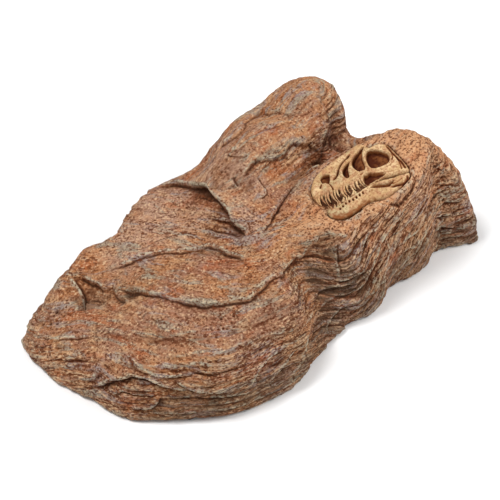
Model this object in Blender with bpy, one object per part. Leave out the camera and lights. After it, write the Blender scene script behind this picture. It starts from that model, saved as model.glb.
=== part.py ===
"""Resin cave ornament: a hollow cast rock on rubber feet, with a fossil skull set into its shoulder.

Metres, +Z up. +X is the long axis and points at the tall end; the low apron is at -X.
The origin is the middle of the footprint, on the ground. Lists of points are in millimetres.
"""

import math

import bmesh
import bpy
import numpy as np
from mathutils import Matrix, Vector

MM = 0.001

# The foot of the rock, anticlockwise from the low end's far corner.
OUTLINE = (
    (-131, 55), (-136, 38), (-137, 14), (-134, -8), (-129, -29), (-119, -45), (-93, -69),
    (-75, -75), (-51, -79), (-36, -79), (-18, -74), (7, -69), (36, -68), (51, -64),
    (66, -64), (83, -67), (97, -61), (105, -59), (122, -69), (134, -68), (138, -55),
    (136, -34), (131, -13), (119, 6), (114, 20), (122, 40), (118, 60), (99, 75),
    (60, 79), (30, 73), (8, 76), (-18, 80), (-50, 73), (-80, 71), (-106, 67), (-122, 62),
)

# Heights of the rock, as points along each ridge, shelf and hollow: x, y, height.
TRUNK_BACK = (
    (-124, 54, 14), (-113, 57, 20), (-100, 58, 25), (-84, 59, 31), (-67, 61, 31), (-52, 61, 35),
    (-35, 63, 38), (-21, 67, 41), (-7, 64, 45), (8, 58, 49), (22, 58, 55), (40, 62, 61),
    (59, 59, 65), (79, 53, 70), (96, 54, 76), (107, 49, 78), (110, 40, 77), (107, 28, 70),
)
TRUNK_LOGS = (
    (82, 47, 78), (95, 33, 78), (70, 39, 71), (76, 30, 72), (90, 23, 70), (26, 43, 66),
    (51, 52, 69), (67, 30, 73), (76, 13, 70), (32, 23, 68), (58, 19, 69), (34, 17, 62),
    (58, 15, 63), (16, 16, 60), (-4, 25, 58), (-11, 6, 58), (-17, -17, 56), (2, 44, 56),
)
CRACK = (
    (108, 18, 50), (103, 8, 55), (90, 15, 46), (72, 10, 44), (51, 4, 48), (33, -2, 51),
    (20, -6, 53), (7, -11, 54), (-7, -18, 55),
)
BASIN = (
    (-19, 54, 43), (-8, 39, 45), (-39, 45, 40), (-26, 25, 44), (-18, 7, 46), (-23, -14, 50),
    (-55, 55, 36), (-73, 49, 33),
)
SLAB = (
    (-74, 38, 34), (-56, 27, 41), (-37, 0, 48), (-30, -26, 52), (-72, 9, 43), (-57, -16, 49),
    (-43, -43, 53), (-23, -35, 55), (-85, 21, 36), (-91, -11, 43), (-78, -39, 47),
    (-56, -56, 51), (-29, -61, 52),
)
APRON = (
    (-117, 38, 22), (-101, 39, 27), (-89, 40, 25), (-85, 34, 31), (-129, 42, 16),
    (-126, 27, 23), (-106, 14, 32), (-121, 6, 29), (-135, 12, 19), (-131, -10, 24),
    (-127, -28, 28), (-117, -48, 31), (-106, -12, 36), (-96, -42, 42), (-104, -66, 32),
    (-75, -66, 44), (-88, -77, 33), (-45, -70, 47), (-70, -80, 34), (-54, -79, 32),
)
NECK = (
    (-3, -32, 56), (9, -32, 57), (26, -16, 56), (6, -43, 57), (21, -49, 55), (41, -11, 57),
    (66, -4, 58),
)
DOME = (
    (70, -13, 66), (83, -19, 72), (98, -19, 75), (111, -30, 74), (116, -42, 69),
    (86, -50, 73), (69, -60, 67), (49, -58, 60), (33, -50, 57), (59, -65, 60),
    (89, -62, 66), (112, -56, 62), (87, -70, 54), (69, -70, 50), (109, -66, 50),
)
FLANK = (
    (2, -47, 46), (18, -55, 50), (9, -57, 26), (-16, -66, 24), (29, -62, 38), (48, -65, 38),
    (14, -65, 20), (126, -40, 58), (122, -18, 58), (112, 0, 56), (134, -60, 28), (126, -60, 46),
)
HEIGHTS = TRUNK_BACK + TRUNK_LOGS + CRACK + BASIN + SLAB + APRON + NECK + DOME + FLANK

# The wall leans in over a narrow band, wider at the tall end and along the far side.
WALL_BAND = 8.0
TALL_END_BAND = 8.0
TALL_END_X = (95.0, 125.0)
FAR_SIDE_BAND = 4.0
FAR_SIDE_Y = (40.0, 65.0)
WALL_POWER = 2.2
LEAST_HEIGHT = 5.0
RIM_Z = 1.0

# The thin plate through the heights: its unit of length and how far it may miss a height.
PLATE_UNIT = 100.0
PLATE_SLACK = 1e-3

# Mesh layout: rays leave a spine on the ground line and run out to the foot.
SPINE_HALF = 60.0
ROCK_STATIONS = 25
ROCK_END_RAYS = 23
ROCK_RINGS = 17
CAVE_STATIONS = 17
CAVE_END_RAYS = 15
CAVE_RINGS = 10
OUTLINE_STEPS = 10
RAY_SAMPLES = 240

# The hollow inside.
RIM_WIDTH = 9.5
ROOF_REACH = 6.0
ROOF_THICKNESS = 4.5
CAVE_BAND = 12.0
BELOW_GROUND = -6.0
SKULL_BOSS = 5.0

# The mouth of the cave, an arch through the tall end between its two lobes.
MOUTH_Y = 10.0
MOUTH_WIDTH = 46.0
MOUTH_HEIGHT = 32.0
MOUTH_SPRING = 12.0
MOUTH_FROM_X = 84.0
MOUTH_TO_X = 150.0
MOUTH_STEPS = 14

# The skull's own frame: x from its snout to its nape, y up to its crown, z out of the rock.
SEAT_CENTRE = (61.5, -34.0)
SEAT_SLOPE = (0.30, -0.03)
SEAT_HEIGHT = 46.4
SEAT_RADII = (38.0, 27.0)
SEAT_FADE = 0.35
SKULL_TURN = math.radians(-32.0)

CROWN_EDGE = (
    (26.5, -6), (27, -2), (26, 3), (24, 10), (22.5, 15), (21, 19), (17, 22), (11, 21.5),
    (8, 25.5), (5, 27.5), (1, 26.5), (-5, 24), (-12, 21.5), (-20, 17.5), (-26, 14), (-30, 9),
    (-32, 3), (-31.5, -3),
)
TOOTH_LINE = ((-27, -3.5), (-20, -3), (-12, -2.5), (-5, -2), (-0.5, -2))
CHEEK_EDGE = ((0.5, -5), (8, -5), (15, -5.2), (20, -6))
JAW_TOP = (
    (20, -7.4), (14, -6.4), (8, -6.2), (1, -6.8), (-5, -9.4), (-12, -11.4), (-20, -14),
)
JAW_UNDER = (
    (-26, -13.5), (-27, -17), (-25, -22), (-21, -24.5), (-15, -24), (-8, -21.5), (-1, -19.8),
    (5, -21), (12, -20.5), (17, -18), (22, -15.5), (25.5, -12), (26.8, -7.2),
)
POCKET_DEPTH = 3.0
POCKET_TOP = 14.0
GAP = 0.3
CROWN_HEIGHT = 3.6
JAW_HEIGHT = 2.8
EDGE_ROUND = 1.0

# Each window of the skull: centre, radii, turn in degrees.
EYE = ((12.5, 10.5), (6.6, 7.2), 0.0)
SNOUT_WINDOW = ((1.8, 13.0), (2.7, 9.0), -18.0)
SMALL_WINDOW = ((-7.8, 8.0), (1.7, 5.2), -20.0)
NOSTRIL = ((-21.0, 7.8), (2.8, 3.2), 0.0)
CHEEK_WINDOW = ((6.0, -2.6), (5.0, 1.6), -8.0)
WINDOW_DEPTH = 3.4
WINDOW_TAPER = 0.75
WINDOW_SIDES = 20
JAW_WINDOW = ((9.0, -11.4), (6.0, 1.6), -14.0)
JAW_WINDOW_DEPTH = 1.6
TOOTH_COUNT = 13
TOOTH_LENGTH = 4.4
TOOTH_WIDTH = 1.4
TOOTH_ROOT = 1.0
TOOTH_TOP = 2.4
TOOTH_BASE = -2.2
SOCKET_LINE = ((-19, -16.8), (-3.3, -11.2))
SOCKET_COUNT = 8
SOCKET_RADIUS = 0.6
SOCKET_DEPTH = 1.2
SOCKET_SIDES = 8
CROWN_PEGS = ((-14.0, 13.5), (19.0, -1.0))
JAW_PEGS = ((-14.0, -18.0), (20.0, -12.0))
PEG_RADIUS = 1.8
PEG_LENGTH = 2.6
PEG_SIDES = 16

# Rubber feet, by the direction of each from the middle of the rock.
FOOT_ANGLES = (-152.0, -108.0, -42.0, 42.0, 108.0, 158.0)
FOOT_RADIUS = 3.3
FOOT_TOP = 2.4
FOOT_FROM_EDGE = 4.9
FOOT_SIDES = 24
OVERSHOOT = 4.0
CUT_ABOVE = 1.0
SHARP_FROM = math.radians(35.0)

ROCK_COLOUR = (0.42, 0.20, 0.10)
BONE_COLOUR = (0.68, 0.50, 0.28)
RUBBER_COLOUR = (0.03, 0.03, 0.03)


# ---------------------------------------------------------------- the surface of the rock


def smooth_outline():
    """The outline as a closed curve through its points."""
    points = np.array(OUTLINE, float)
    curve = []
    for i in range(len(points)):
        a, b, c, d = (points[(i + k) % len(points)] for k in (-1, 0, 1, 2))
        for step in range(OUTLINE_STEPS):
            t = step / OUTLINE_STEPS
            along = 2 * b + (c - a) * t
            along = along + (2 * a - 5 * b + 4 * c - d) * t**2 + (3 * b - 3 * c + d - a) * t**3
            curve.append(along / 2)
    return np.array(curve)


def inside_distance(points, outline):
    """Distance of each point from the outline, negative outside it."""
    start = outline
    side = np.roll(outline, -1, axis=0) - outline
    found = np.empty(len(points))
    for i, point in enumerate(points):
        away = point - start
        share = np.clip((away * side).sum(1) / (side**2).sum(1), 0, 1)
        nearest = np.sqrt(((away - share[:, None] * side) ** 2).sum(1)).min()
        crosses = (start[:, 1] > point[1]) != (start[:, 1] + side[:, 1] > point[1])
        rise = np.where(crosses, side[:, 1], 1.0)
        meets = start[:, 0] + (point[1] - start[:, 1]) * side[:, 0] / rise
        within = np.count_nonzero(crosses & (point[0] < meets)) % 2
        found[i] = nearest if within else -nearest
    return found


def bending(distance):
    """How one height point bends a thin plate at this distance."""
    return np.where(distance > 0, distance**2 * np.log(distance + 1e-12), 0.0)


def plate_weights(points):
    """Weights of the thin plate that passes through every height."""
    flat, height = points[:, :2] / PLATE_UNIT, points[:, 2]
    size = len(points)
    distance = np.linalg.norm(flat[:, None] - flat[None], axis=-1)
    matrix = np.zeros((size + 3, size + 3))
    matrix[:size, :size] = bending(distance) + PLATE_SLACK * np.eye(size)
    matrix[:size, size] = 1
    matrix[size, :size] = 1
    matrix[:size, size + 1:] = flat
    matrix[size + 1:, :size] = flat.T
    return np.linalg.solve(matrix, np.concatenate([height, np.zeros(3)]))


def plate_height(points, spots, weights):
    """Height of the thin plate over each point."""
    flat = points / PLATE_UNIT
    distance = np.linalg.norm(flat[:, None] - spots[None, :, :2] / PLATE_UNIT, axis=-1)
    size = len(spots)
    return bending(distance) @ weights[:size] + weights[size] + flat @ weights[size + 1:]


def seat_height(points):
    """The sloping plane that the skull lies in."""
    return SEAT_HEIGHT + points @ np.array(SEAT_SLOPE)


def in_skull_frame(points):
    """Ground positions, turned and moved into the skull's frame."""
    away = points - np.array(SEAT_CENTRE)
    cos, sin = math.cos(SKULL_TURN), math.sin(SKULL_TURN)
    return away @ np.array(((cos, -sin), (sin, cos)))


def seat_share(points):
    """1 under the skull, falling to 0 a little outside it."""
    reach = np.linalg.norm(in_skull_frame(points) / np.array(SEAT_RADII), axis=1)
    return np.clip((1 + SEAT_FADE - reach) / SEAT_FADE, 0, 1)


class Rock:
    """Height of the rock's surface over any point of the ground."""

    def __init__(self):
        self.outline = smooth_outline()
        self.spots = np.array(HEIGHTS, float)
        self.weights = plate_weights(self.spots)

    def height(self, points):
        top = plate_height(points, self.spots, self.weights)
        share = seat_share(points)
        top = top + (seat_height(points) - top) * share
        band = WALL_BAND + TALL_END_BAND * np.interp(points[:, 0], TALL_END_X, (0, 1))
        band = band + FAR_SIDE_BAND * np.interp(points[:, 1], FAR_SIDE_Y, (0, 1))
        inner = np.clip(inside_distance(points, self.outline) / band, 0, 1)
        lean = (1 - (1 - inner) ** WALL_POWER) ** (1 / WALL_POWER)
        return RIM_Z + (np.maximum(top, LEAST_HEIGHT) - RIM_Z) * lean

    def cave_height(self, points):
        """The roof of the hollow: the lowest rock nearby, less the thickness of the roof."""
        lowest = self.height(points)
        for turn in range(8):
            angle = turn * math.pi / 4
            shift = ROOF_REACH * np.array((math.cos(angle), math.sin(angle)))
            lowest = np.minimum(lowest, self.height(points + shift))
        inner = np.clip((inside_distance(points, self.outline) - RIM_WIDTH) / CAVE_BAND, 0, 1)
        arch = (1 - (1 - inner) ** WALL_POWER) ** (1 / WALL_POWER)
        roof = lowest - ROOF_THICKNESS - SKULL_BOSS * seat_share(points)
        return RIM_Z + np.maximum(roof - RIM_Z, 0) * arch


# ---------------------------------------------------------------- meshes


def rays(stations, end_rays):
    """(start, direction, spine number) of every ray, anticlockwise from the near low corner."""
    spine = np.linspace(-SPINE_HALF, SPINE_HALF, stations)
    found = [((x, 0.0), (0.0, -1.0), i) for i, x in enumerate(spine)]
    for k in range(1, end_rays + 1):
        angle = -math.pi / 2 + math.pi * k / (end_rays + 1)
        found.append(((SPINE_HALF, 0.0), (math.cos(angle), math.sin(angle)), stations - 1))
    found += [((x, 0.0), (0.0, 1.0), i) for i, x in reversed(list(enumerate(spine)))]
    for k in range(1, end_rays + 1):
        angle = math.pi / 2 + math.pi * k / (end_rays + 1)
        found.append(((-SPINE_HALF, 0.0), (math.cos(angle), math.sin(angle)), 0))
    return spine, found


def ray_length(start, direction, outline):
    """How far a ray runs before it meets the outline."""
    side = np.roll(outline, -1, axis=0) - outline
    away = outline - np.array(start)
    cross = direction[0] * side[:, 1] - direction[1] * side[:, 0]
    cross = np.where(np.abs(cross) < 1e-9, 1e-9, cross)
    along = (away[:, 0] * side[:, 1] - away[:, 1] * side[:, 0]) / cross
    share = (away[:, 0] * direction[1] - away[:, 1] * direction[0]) / cross
    return along[(share >= 0) & (share < 1) & (along > 0)].min()


def even_rings(flat, height, rings):
    """Points at even steps along a profile, leaving out its first."""
    line = np.column_stack([flat, height])
    run = np.concatenate([[0], np.cumsum(np.linalg.norm(np.diff(line, axis=0), axis=1))])
    steps = np.linspace(0, run[-1], rings + 1)[1:]
    return np.column_stack([np.interp(steps, run, line[:, axis]) for axis in range(3)])


def spoke_mesh(name, surface, outline, stations, end_rays, rings, inset, floor):
    """A closed body: rings of points run out from a spine, over a flat underside."""
    spine, spokes = rays(stations, end_rays)
    middle = np.column_stack([spine, np.zeros(stations)])
    points = [(*point, z) for point, z in zip(middle, surface(middle))]
    share = np.linspace(0, 1, RAY_SAMPLES)[:, None]
    for start, direction, _ in spokes:
        reach = ray_length(start, direction, outline)
        flat = np.array(start) + share * reach * np.array(direction)
        if inset:
            depth = inside_distance(flat, outline)
            last = np.nonzero(depth >= inset)[0][-1]
            flat = np.array(start) + share * share[last] * reach * np.array(direction)
        points += [tuple(row) for row in even_rings(flat, surface(flat), rings)]
    count = len(spokes)
    foot = len(points)
    drop = [points[stations + i * rings + rings - 1] for i in range(count)]
    points += [(x, y, floor) for x, y, _ in drop]
    base = len(points)
    points += [(x, y, floor) for x, y in middle]
    faces = []
    for i, (_, _, near) in enumerate(spokes):
        after = (i + 1) % count
        far = spokes[after][2]
        first, second = stations + i * rings, stations + after * rings
        faces.append((near, first, second) if near == far else (near, first, second, far))
        for k in range(rings - 1):
            faces.append((first + k, first + k + 1, second + k + 1, second + k))
        faces.append((first + rings - 1, foot + i, foot + after, second + rings - 1))
        low = (foot + after, foot + i, base + near)
        faces.append(low if near == far else (*low, base + far))
    return add_mesh(name, points, faces)


def add_mesh(name, points, faces):
    """A closed mesh object from points in millimetres, with its faces turned outwards."""
    mesh = bpy.data.meshes.new(name)
    mesh.from_pydata([tuple(MM * value for value in point) for point in points], [], faces)
    shape = bmesh.new()
    shape.from_mesh(mesh)
    bmesh.ops.remove_doubles(shape, verts=shape.verts, dist=1e-6)
    bmesh.ops.recalc_face_normals(shape, faces=shape.faces)
    shape.to_mesh(mesh)
    shape.free()
    mesh.shade_smooth()
    mesh.set_sharp_from_angle(angle=SHARP_FROM)
    body = bpy.data.objects.new(name, mesh)
    bpy.context.scene.collection.objects.link(body)
    return body


def prism(name, loops):
    """A closed body through stacked loops of equal length, each (x, y, z) and anticlockwise."""
    size = len(loops[0])
    points = [point for loop in loops for point in loop]
    faces = [tuple(reversed(range(size)))]
    for level in range(len(loops) - 1):
        low, high = level * size, (level + 1) * size
        for i in range(size):
            j = (i + 1) % size
            faces.append((low + i, low + j, high + j, high + i))
    faces.append(tuple(range((len(loops) - 1) * size, len(loops) * size)))
    return add_mesh(name, points, faces)


def ellipse(centre, radii, turn_degrees, sides):
    """Points of an ellipse, anticlockwise."""
    turn = math.radians(turn_degrees)
    points = []
    for i in range(sides):
        angle = 2 * math.pi * i / sides
        x, y = radii[0] * math.cos(angle), radii[1] * math.sin(angle)
        points.append(
            (
                centre[0] + x * math.cos(turn) - y * math.sin(turn),
                centre[1] + x * math.sin(turn) + y * math.cos(turn),
            )
        )
    return points


def lifted(loop, z):
    return [(x, y, z) for x, y in loop]


def swollen(loop, by):
    """An anticlockwise loop moved outwards, or inwards for a negative amount."""
    moved = []
    for i, point in enumerate(loop):
        before = Vector(point) - Vector(loop[i - 1])
        after = Vector(loop[(i + 1) % len(loop)]) - Vector(point)
        out = Vector((before.y, -before.x)).normalized() + Vector((after.y, -after.x)).normalized()
        out.normalize()
        lean = max(0.5, out.dot(Vector((after.y, -after.x)).normalized()))
        moved.append((point[0] + out.x * by / lean, point[1] + out.y * by / lean))
    return moved


def hide_cutter(cutter):
    cutter.hide_render = True
    cutter.display_type = "WIRE"


def boolean(body, other, operation):
    """Cuts or joins with the exact solver."""
    step = body.modifiers.new(operation.title(), "BOOLEAN")
    step.operation = operation
    step.solver = "EXACT"
    step.object = other
    hide_cutter(other)


def paint(body, colour, roughness):
    """Gives the body a material of its own."""
    material = bpy.data.materials.new(body.name + "_material")
    material.use_nodes = True
    shader = material.node_tree.nodes["Principled BSDF"]
    shader.inputs["Base Color"].default_value = (*colour, 1.0)
    shader.inputs["Roughness"].default_value = roughness
    body.data.materials.append(material)


# ---------------------------------------------------------------- pieces


def skull_matrix():
    """Takes the skull's frame into the object's."""
    out = Vector((-SEAT_SLOPE[0], -SEAT_SLOPE[1], 1.0)).normalized()
    along = Vector((1.0, 0.0, SEAT_SLOPE[0])).normalized()
    across = out.cross(along)
    turned = Matrix((along, across, out)).transposed() @ Matrix.Rotation(SKULL_TURN, 3, "Z")
    x, y = SEAT_CENTRE
    z = SEAT_HEIGHT + x * SEAT_SLOPE[0] + y * SEAT_SLOPE[1]
    return Matrix.Translation(MM * Vector((x, y, z))) @ turned.to_4x4()


def set_in_seat(body):
    """Puts a body that was made in the skull's frame in its place on the rock."""
    body.matrix_world = skull_matrix()


def outlines_of_skull():
    """The crown, the lower jaw and the whole skull, as anticlockwise loops."""
    crown = list(CROWN_EDGE) + list(TOOTH_LINE) + list(CHEEK_EDGE)
    jaw = list(JAW_TOP) + list(JAW_UNDER)
    whole = list(CROWN_EDGE) + list(JAW_UNDER)
    return crown, jaw, whole


def add_skull_cuts(rock):
    """The pocket and peg holes that hold the skull."""
    _, _, whole = outlines_of_skull()
    wide = swollen(whole, GAP)
    pocket = prism("skull_pocket", [lifted(wide, -POCKET_DEPTH), lifted(wide, POCKET_TOP)])
    set_in_seat(pocket)
    boolean(rock, pocket, "DIFFERENCE")
    for number, centre in enumerate(CROWN_PEGS + JAW_PEGS, 1):
        ring = ellipse(centre, (PEG_RADIUS + GAP, PEG_RADIUS + GAP), 0, PEG_SIDES)
        hole = prism(
            f"peg_hole_{number}",
            [lifted(ring, -POCKET_DEPTH - PEG_LENGTH - 2 * GAP), lifted(ring, 0.0)],
        )
        set_in_seat(hole)
        boolean(rock, hole, "DIFFERENCE")


def mouth_cutter():
    """An arch that runs in from the tall end."""
    half = MOUTH_WIDTH / 2
    rise = MOUTH_HEIGHT - MOUTH_SPRING
    loop = [(half, BELOW_GROUND), (half, MOUTH_SPRING)]
    for i in range(1, MOUTH_STEPS):
        angle = math.pi * i / MOUTH_STEPS
        loop.append((half * math.cos(angle), MOUTH_SPRING + rise * math.sin(angle)))
    loop += [(-half, MOUTH_SPRING), (-half, BELOW_GROUND)]
    near = [(MOUTH_FROM_X, MOUTH_Y + y, z) for y, z in loop]
    far = [(MOUTH_TO_X, MOUTH_Y + y, z) for y, z in loop]
    return prism("mouth_cutter", [near, far])


def foot_centres(rock):
    """Where each foot stands: a set distance in from the edge, in its own direction."""
    centres = []
    for degrees in FOOT_ANGLES:
        angle = math.radians(degrees)
        direction = (math.cos(angle), math.sin(angle))
        reach = ray_length((0.0, 0.0), direction, rock.outline)
        line = np.linspace(reach, reach / 2, RAY_SAMPLES)[:, None] * np.array(direction)
        depth = inside_distance(line, rock.outline)
        centres.append(tuple(line[np.nonzero(depth >= FOOT_FROM_EDGE)[0][0]]))
    return centres


def add_rock():
    surface = Rock()
    rock = spoke_mesh(
        "rock_shell", surface.height, surface.outline,
        ROCK_STATIONS, ROCK_END_RAYS, ROCK_RINGS, 0.0, RIM_Z,
    )
    cave = spoke_mesh(
        "cave_cutter", surface.cave_height, surface.outline,
        CAVE_STATIONS, CAVE_END_RAYS, CAVE_RINGS, RIM_WIDTH, BELOW_GROUND,
    )
    boolean(rock, cave, "DIFFERENCE")
    boolean(rock, mouth_cutter(), "DIFFERENCE")
    add_skull_cuts(rock)
    centres = foot_centres(surface)
    for number, centre in enumerate(centres, 1):
        ring = ellipse(centre, (FOOT_RADIUS + GAP, FOOT_RADIUS + GAP), 0, FOOT_SIDES)
        recess = prism(
            f"foot_recess_{number}",
            [lifted(ring, -OVERSHOOT), lifted(ring, FOOT_TOP + GAP)],
        )
        boolean(rock, recess, "DIFFERENCE")
    paint(rock, ROCK_COLOUR, 0.85)
    return centres


def add_feet(centres):
    for number, centre in enumerate(centres, 1):
        ring = ellipse(centre, (FOOT_RADIUS, FOOT_RADIUS), 0, FOOT_SIDES)
        foot = prism(f"foot_pad_{number}", [lifted(ring, 0.0), lifted(ring, FOOT_TOP)])
        paint(foot, RUBBER_COLOUR, 0.9)


def bone_body(name, loop, height):
    """A plate of the skull with a rounded-off upper edge."""
    low = GAP - POCKET_DEPTH
    inner = swollen(loop, -EDGE_ROUND)
    return prism(
        name, [lifted(loop, low), lifted(loop, height - EDGE_ROUND), lifted(inner, height)]
    )


def cut_window(body, name, window, top, depth):
    centre, radii, turn = window
    wide = ellipse(centre, radii, turn, WINDOW_SIDES)
    inner = tuple(WINDOW_TAPER * radius for radius in radii)
    narrow = ellipse(centre, inner, turn, WINDOW_SIDES)
    cutter = prism(name, [lifted(narrow, top - depth), lifted(wide, top + CUT_ABOVE)])
    set_in_seat(cutter)
    boolean(body, cutter, "DIFFERENCE")


def along_line(points, share):
    """A point of a line of points, at this share of its length."""
    line = np.array(points, float)
    run = np.concatenate([[0], np.cumsum(np.linalg.norm(np.diff(line, axis=0), axis=1))])
    return [float(np.interp(share * run[-1], run, line[:, axis])) for axis in range(2)]


def add_pegs(body, pegs):
    for number, centre in enumerate(pegs, 1):
        ring = ellipse(centre, (PEG_RADIUS, PEG_RADIUS), 0, PEG_SIDES)
        low = -POCKET_DEPTH - PEG_LENGTH
        peg = prism(f"{body.name}_peg_{number}", [lifted(ring, low), lifted(ring, 0.0)])
        set_in_seat(peg)
        boolean(body, peg, "UNION")


def add_teeth(crown):
    """Tapered teeth that hang from the front of the tooth line."""
    for number in range(TOOTH_COUNT):
        x, y = along_line(TOOTH_LINE, (number + 0.3) / TOOTH_COUNT)
        half = TOOTH_WIDTH / 2
        tip = [(x - half / 2, y - TOOTH_LENGTH), (x + half / 2, y - TOOTH_LENGTH)]
        root = [(x + half, y + TOOTH_ROOT), (x - half, y + TOOTH_ROOT)]
        top = lifted(tip, TOOTH_TOP / 2) + lifted(root, TOOTH_TOP)
        tooth = prism(f"tooth_{number + 1}", [lifted(tip + root, TOOTH_BASE), top])
        set_in_seat(tooth)
        boolean(crown, tooth, "UNION")


def add_cranium(loop):
    crown = bone_body("skull_cranium", loop, CROWN_HEIGHT)
    set_in_seat(crown)
    add_teeth(crown)
    windows = (EYE, SNOUT_WINDOW, SMALL_WINDOW, NOSTRIL, CHEEK_WINDOW)
    for number, window in enumerate(windows, 1):
        cut_window(crown, f"crown_window_{number}", window, CROWN_HEIGHT, WINDOW_DEPTH)
    add_pegs(crown, CROWN_PEGS)
    paint(crown, BONE_COLOUR, 0.75)


def add_jaw(loop):
    jaw = bone_body("skull_lower_jaw", loop, JAW_HEIGHT)
    set_in_seat(jaw)
    cut_window(jaw, "jaw_window", JAW_WINDOW, JAW_HEIGHT, JAW_WINDOW_DEPTH)
    for number in range(SOCKET_COUNT):
        centre = along_line(SOCKET_LINE, number / (SOCKET_COUNT - 1))
        ring = ellipse(centre, (SOCKET_RADIUS, SOCKET_RADIUS), 0, SOCKET_SIDES)
        socket = prism(
            f"tooth_socket_{number + 1}",
            [lifted(ring, JAW_HEIGHT - SOCKET_DEPTH), lifted(ring, JAW_HEIGHT + CUT_ABOVE)],
        )
        set_in_seat(socket)
        boolean(jaw, socket, "DIFFERENCE")
    add_pegs(jaw, JAW_PEGS)
    paint(jaw, BONE_COLOUR, 0.75)


def main():
    for old in list(bpy.data.objects):
        bpy.data.objects.remove(old, do_unlink=True)
    crown_loop, jaw_loop, _ = outlines_of_skull()
    add_feet(add_rock())
    add_cranium(crown_loop)
    add_jaw(jaw_loop)


main()
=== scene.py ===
"""The looks of the resin cave ornament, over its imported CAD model.

The rock is a dense copy of the CAD shell with its folds, seams, pores and paint. The skull and the
feet are detailed pieces in the places of their CAD nodes. Working units are millimetres until a
mesh is written. Lists of points are in the object's frame, or in the skull's own where said.
"""

import math

import bmesh
import bpy
import numpy as np
from mathutils import Matrix, Vector
from mathutils.bvhtree import BVHTree
from mathutils.kdtree import KDTree


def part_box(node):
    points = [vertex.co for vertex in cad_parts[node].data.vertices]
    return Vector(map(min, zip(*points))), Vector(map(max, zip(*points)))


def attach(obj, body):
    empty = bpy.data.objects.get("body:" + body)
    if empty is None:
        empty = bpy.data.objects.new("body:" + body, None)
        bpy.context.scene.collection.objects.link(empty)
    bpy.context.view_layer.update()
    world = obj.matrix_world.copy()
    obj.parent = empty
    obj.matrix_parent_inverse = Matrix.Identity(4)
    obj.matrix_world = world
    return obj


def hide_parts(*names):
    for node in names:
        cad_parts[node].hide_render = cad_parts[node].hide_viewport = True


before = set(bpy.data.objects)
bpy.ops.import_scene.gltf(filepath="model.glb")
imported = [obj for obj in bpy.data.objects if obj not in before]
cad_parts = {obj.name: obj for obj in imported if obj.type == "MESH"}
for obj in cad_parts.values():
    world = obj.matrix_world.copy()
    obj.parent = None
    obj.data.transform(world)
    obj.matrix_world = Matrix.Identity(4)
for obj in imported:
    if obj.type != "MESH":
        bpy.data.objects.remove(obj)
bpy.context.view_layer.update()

MM = 0.001

# The skull's seat, as in the CAD model: where it lies, how it slopes and how far it is turned.
SEAT_CENTRE = (61.5, -34.0)
SEAT_SLOPE = (0.30, -0.03)
SEAT_HEIGHT = 46.4
SKULL_TURN = math.radians(-32.0)
PLATE_BOTTOM = -2.7

# Outlines of the skull, in its own frame: x from snout to nape, y up to the crown. First the top of
# the cranium from nape to snout, and its underside back again.
CROWN_EDGE = (
    (26.5, -6), (27, -2), (26, 3), (24, 10), (22.5, 15), (21, 19), (17, 22), (11, 21.5),
    (8, 25.5), (5, 27.5), (1, 26.5), (-5, 24), (-12, 21.5), (-20, 17.5), (-26, 14), (-30, 9),
    (-32, 3), (-31.5, -3),
)
CROWN_UNDER = (
    (-27, -3.4), (-20, -2.6), (-12, -2.2), (-6, -1.6), (-1, -0.6), (0, -2.4), (0.5, -5.6),
    (8, -5), (15, -5.2), (20, -6),
)
# The top of the jaw, the underside of the pocket in the CAD model, and the jaw's own underside, which
# lies a little inside it.
JAW_TOP = (
    (20, -7.4), (14, -6.4), (8, -6.0), (1, -6.6), (-5, -9.2), (-12, -11.2), (-20, -14),
)
POCKET_UNDER = (
    (-26, -13.5), (-27, -17), (-25, -22), (-21, -24.5), (-15, -24), (-8, -21.5), (-1, -19.8),
    (5, -21), (12, -20.5), (17, -18), (22, -15.5), (25.5, -12), (26.8, -7.2),
)
JAW_UNDER = (
    (-26, -13.5), (-27, -17), (-25.2, -21.6), (-21, -24), (-15, -23.4), (-8, -21), (-1, -18.7),
    (5, -19.4), (12, -18.5), (17, -15.9), (22, -13.5), (25.2, -10.6), (26.6, -7.2),
)
# The strip of rock between the jaw's underside and the edge of its pocket, and the rock that shows
# behind the teeth.
JAW_STRIP = (
    (-8, -21.6), (-1, -19.3), (5, -20), (12, -19.1), (17, -16.5), (22, -14.1), (25.8, -11),
    (28, -9), (27, -14), (20, -19), (12, -23), (4, -23.4), (-2, -22.4),
)
BEHIND_TEETH = (
    (-31.8, -2.6), (-27, -3.8), (-12, -2.8), (-1, -1.4), (0, -6.4), (-5, -8.6), (-12, -10.7),
    (-20, -13.4), (-25.6, -13.2), (-29.4, -8),
)
STRIP_LEVEL = 0.9
BEHIND_TEETH_LEVEL = -0.5
# A point of the rock belongs to the skull's pocket when it is this near to the skull's plane.
POCKET_REACH = 12

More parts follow.
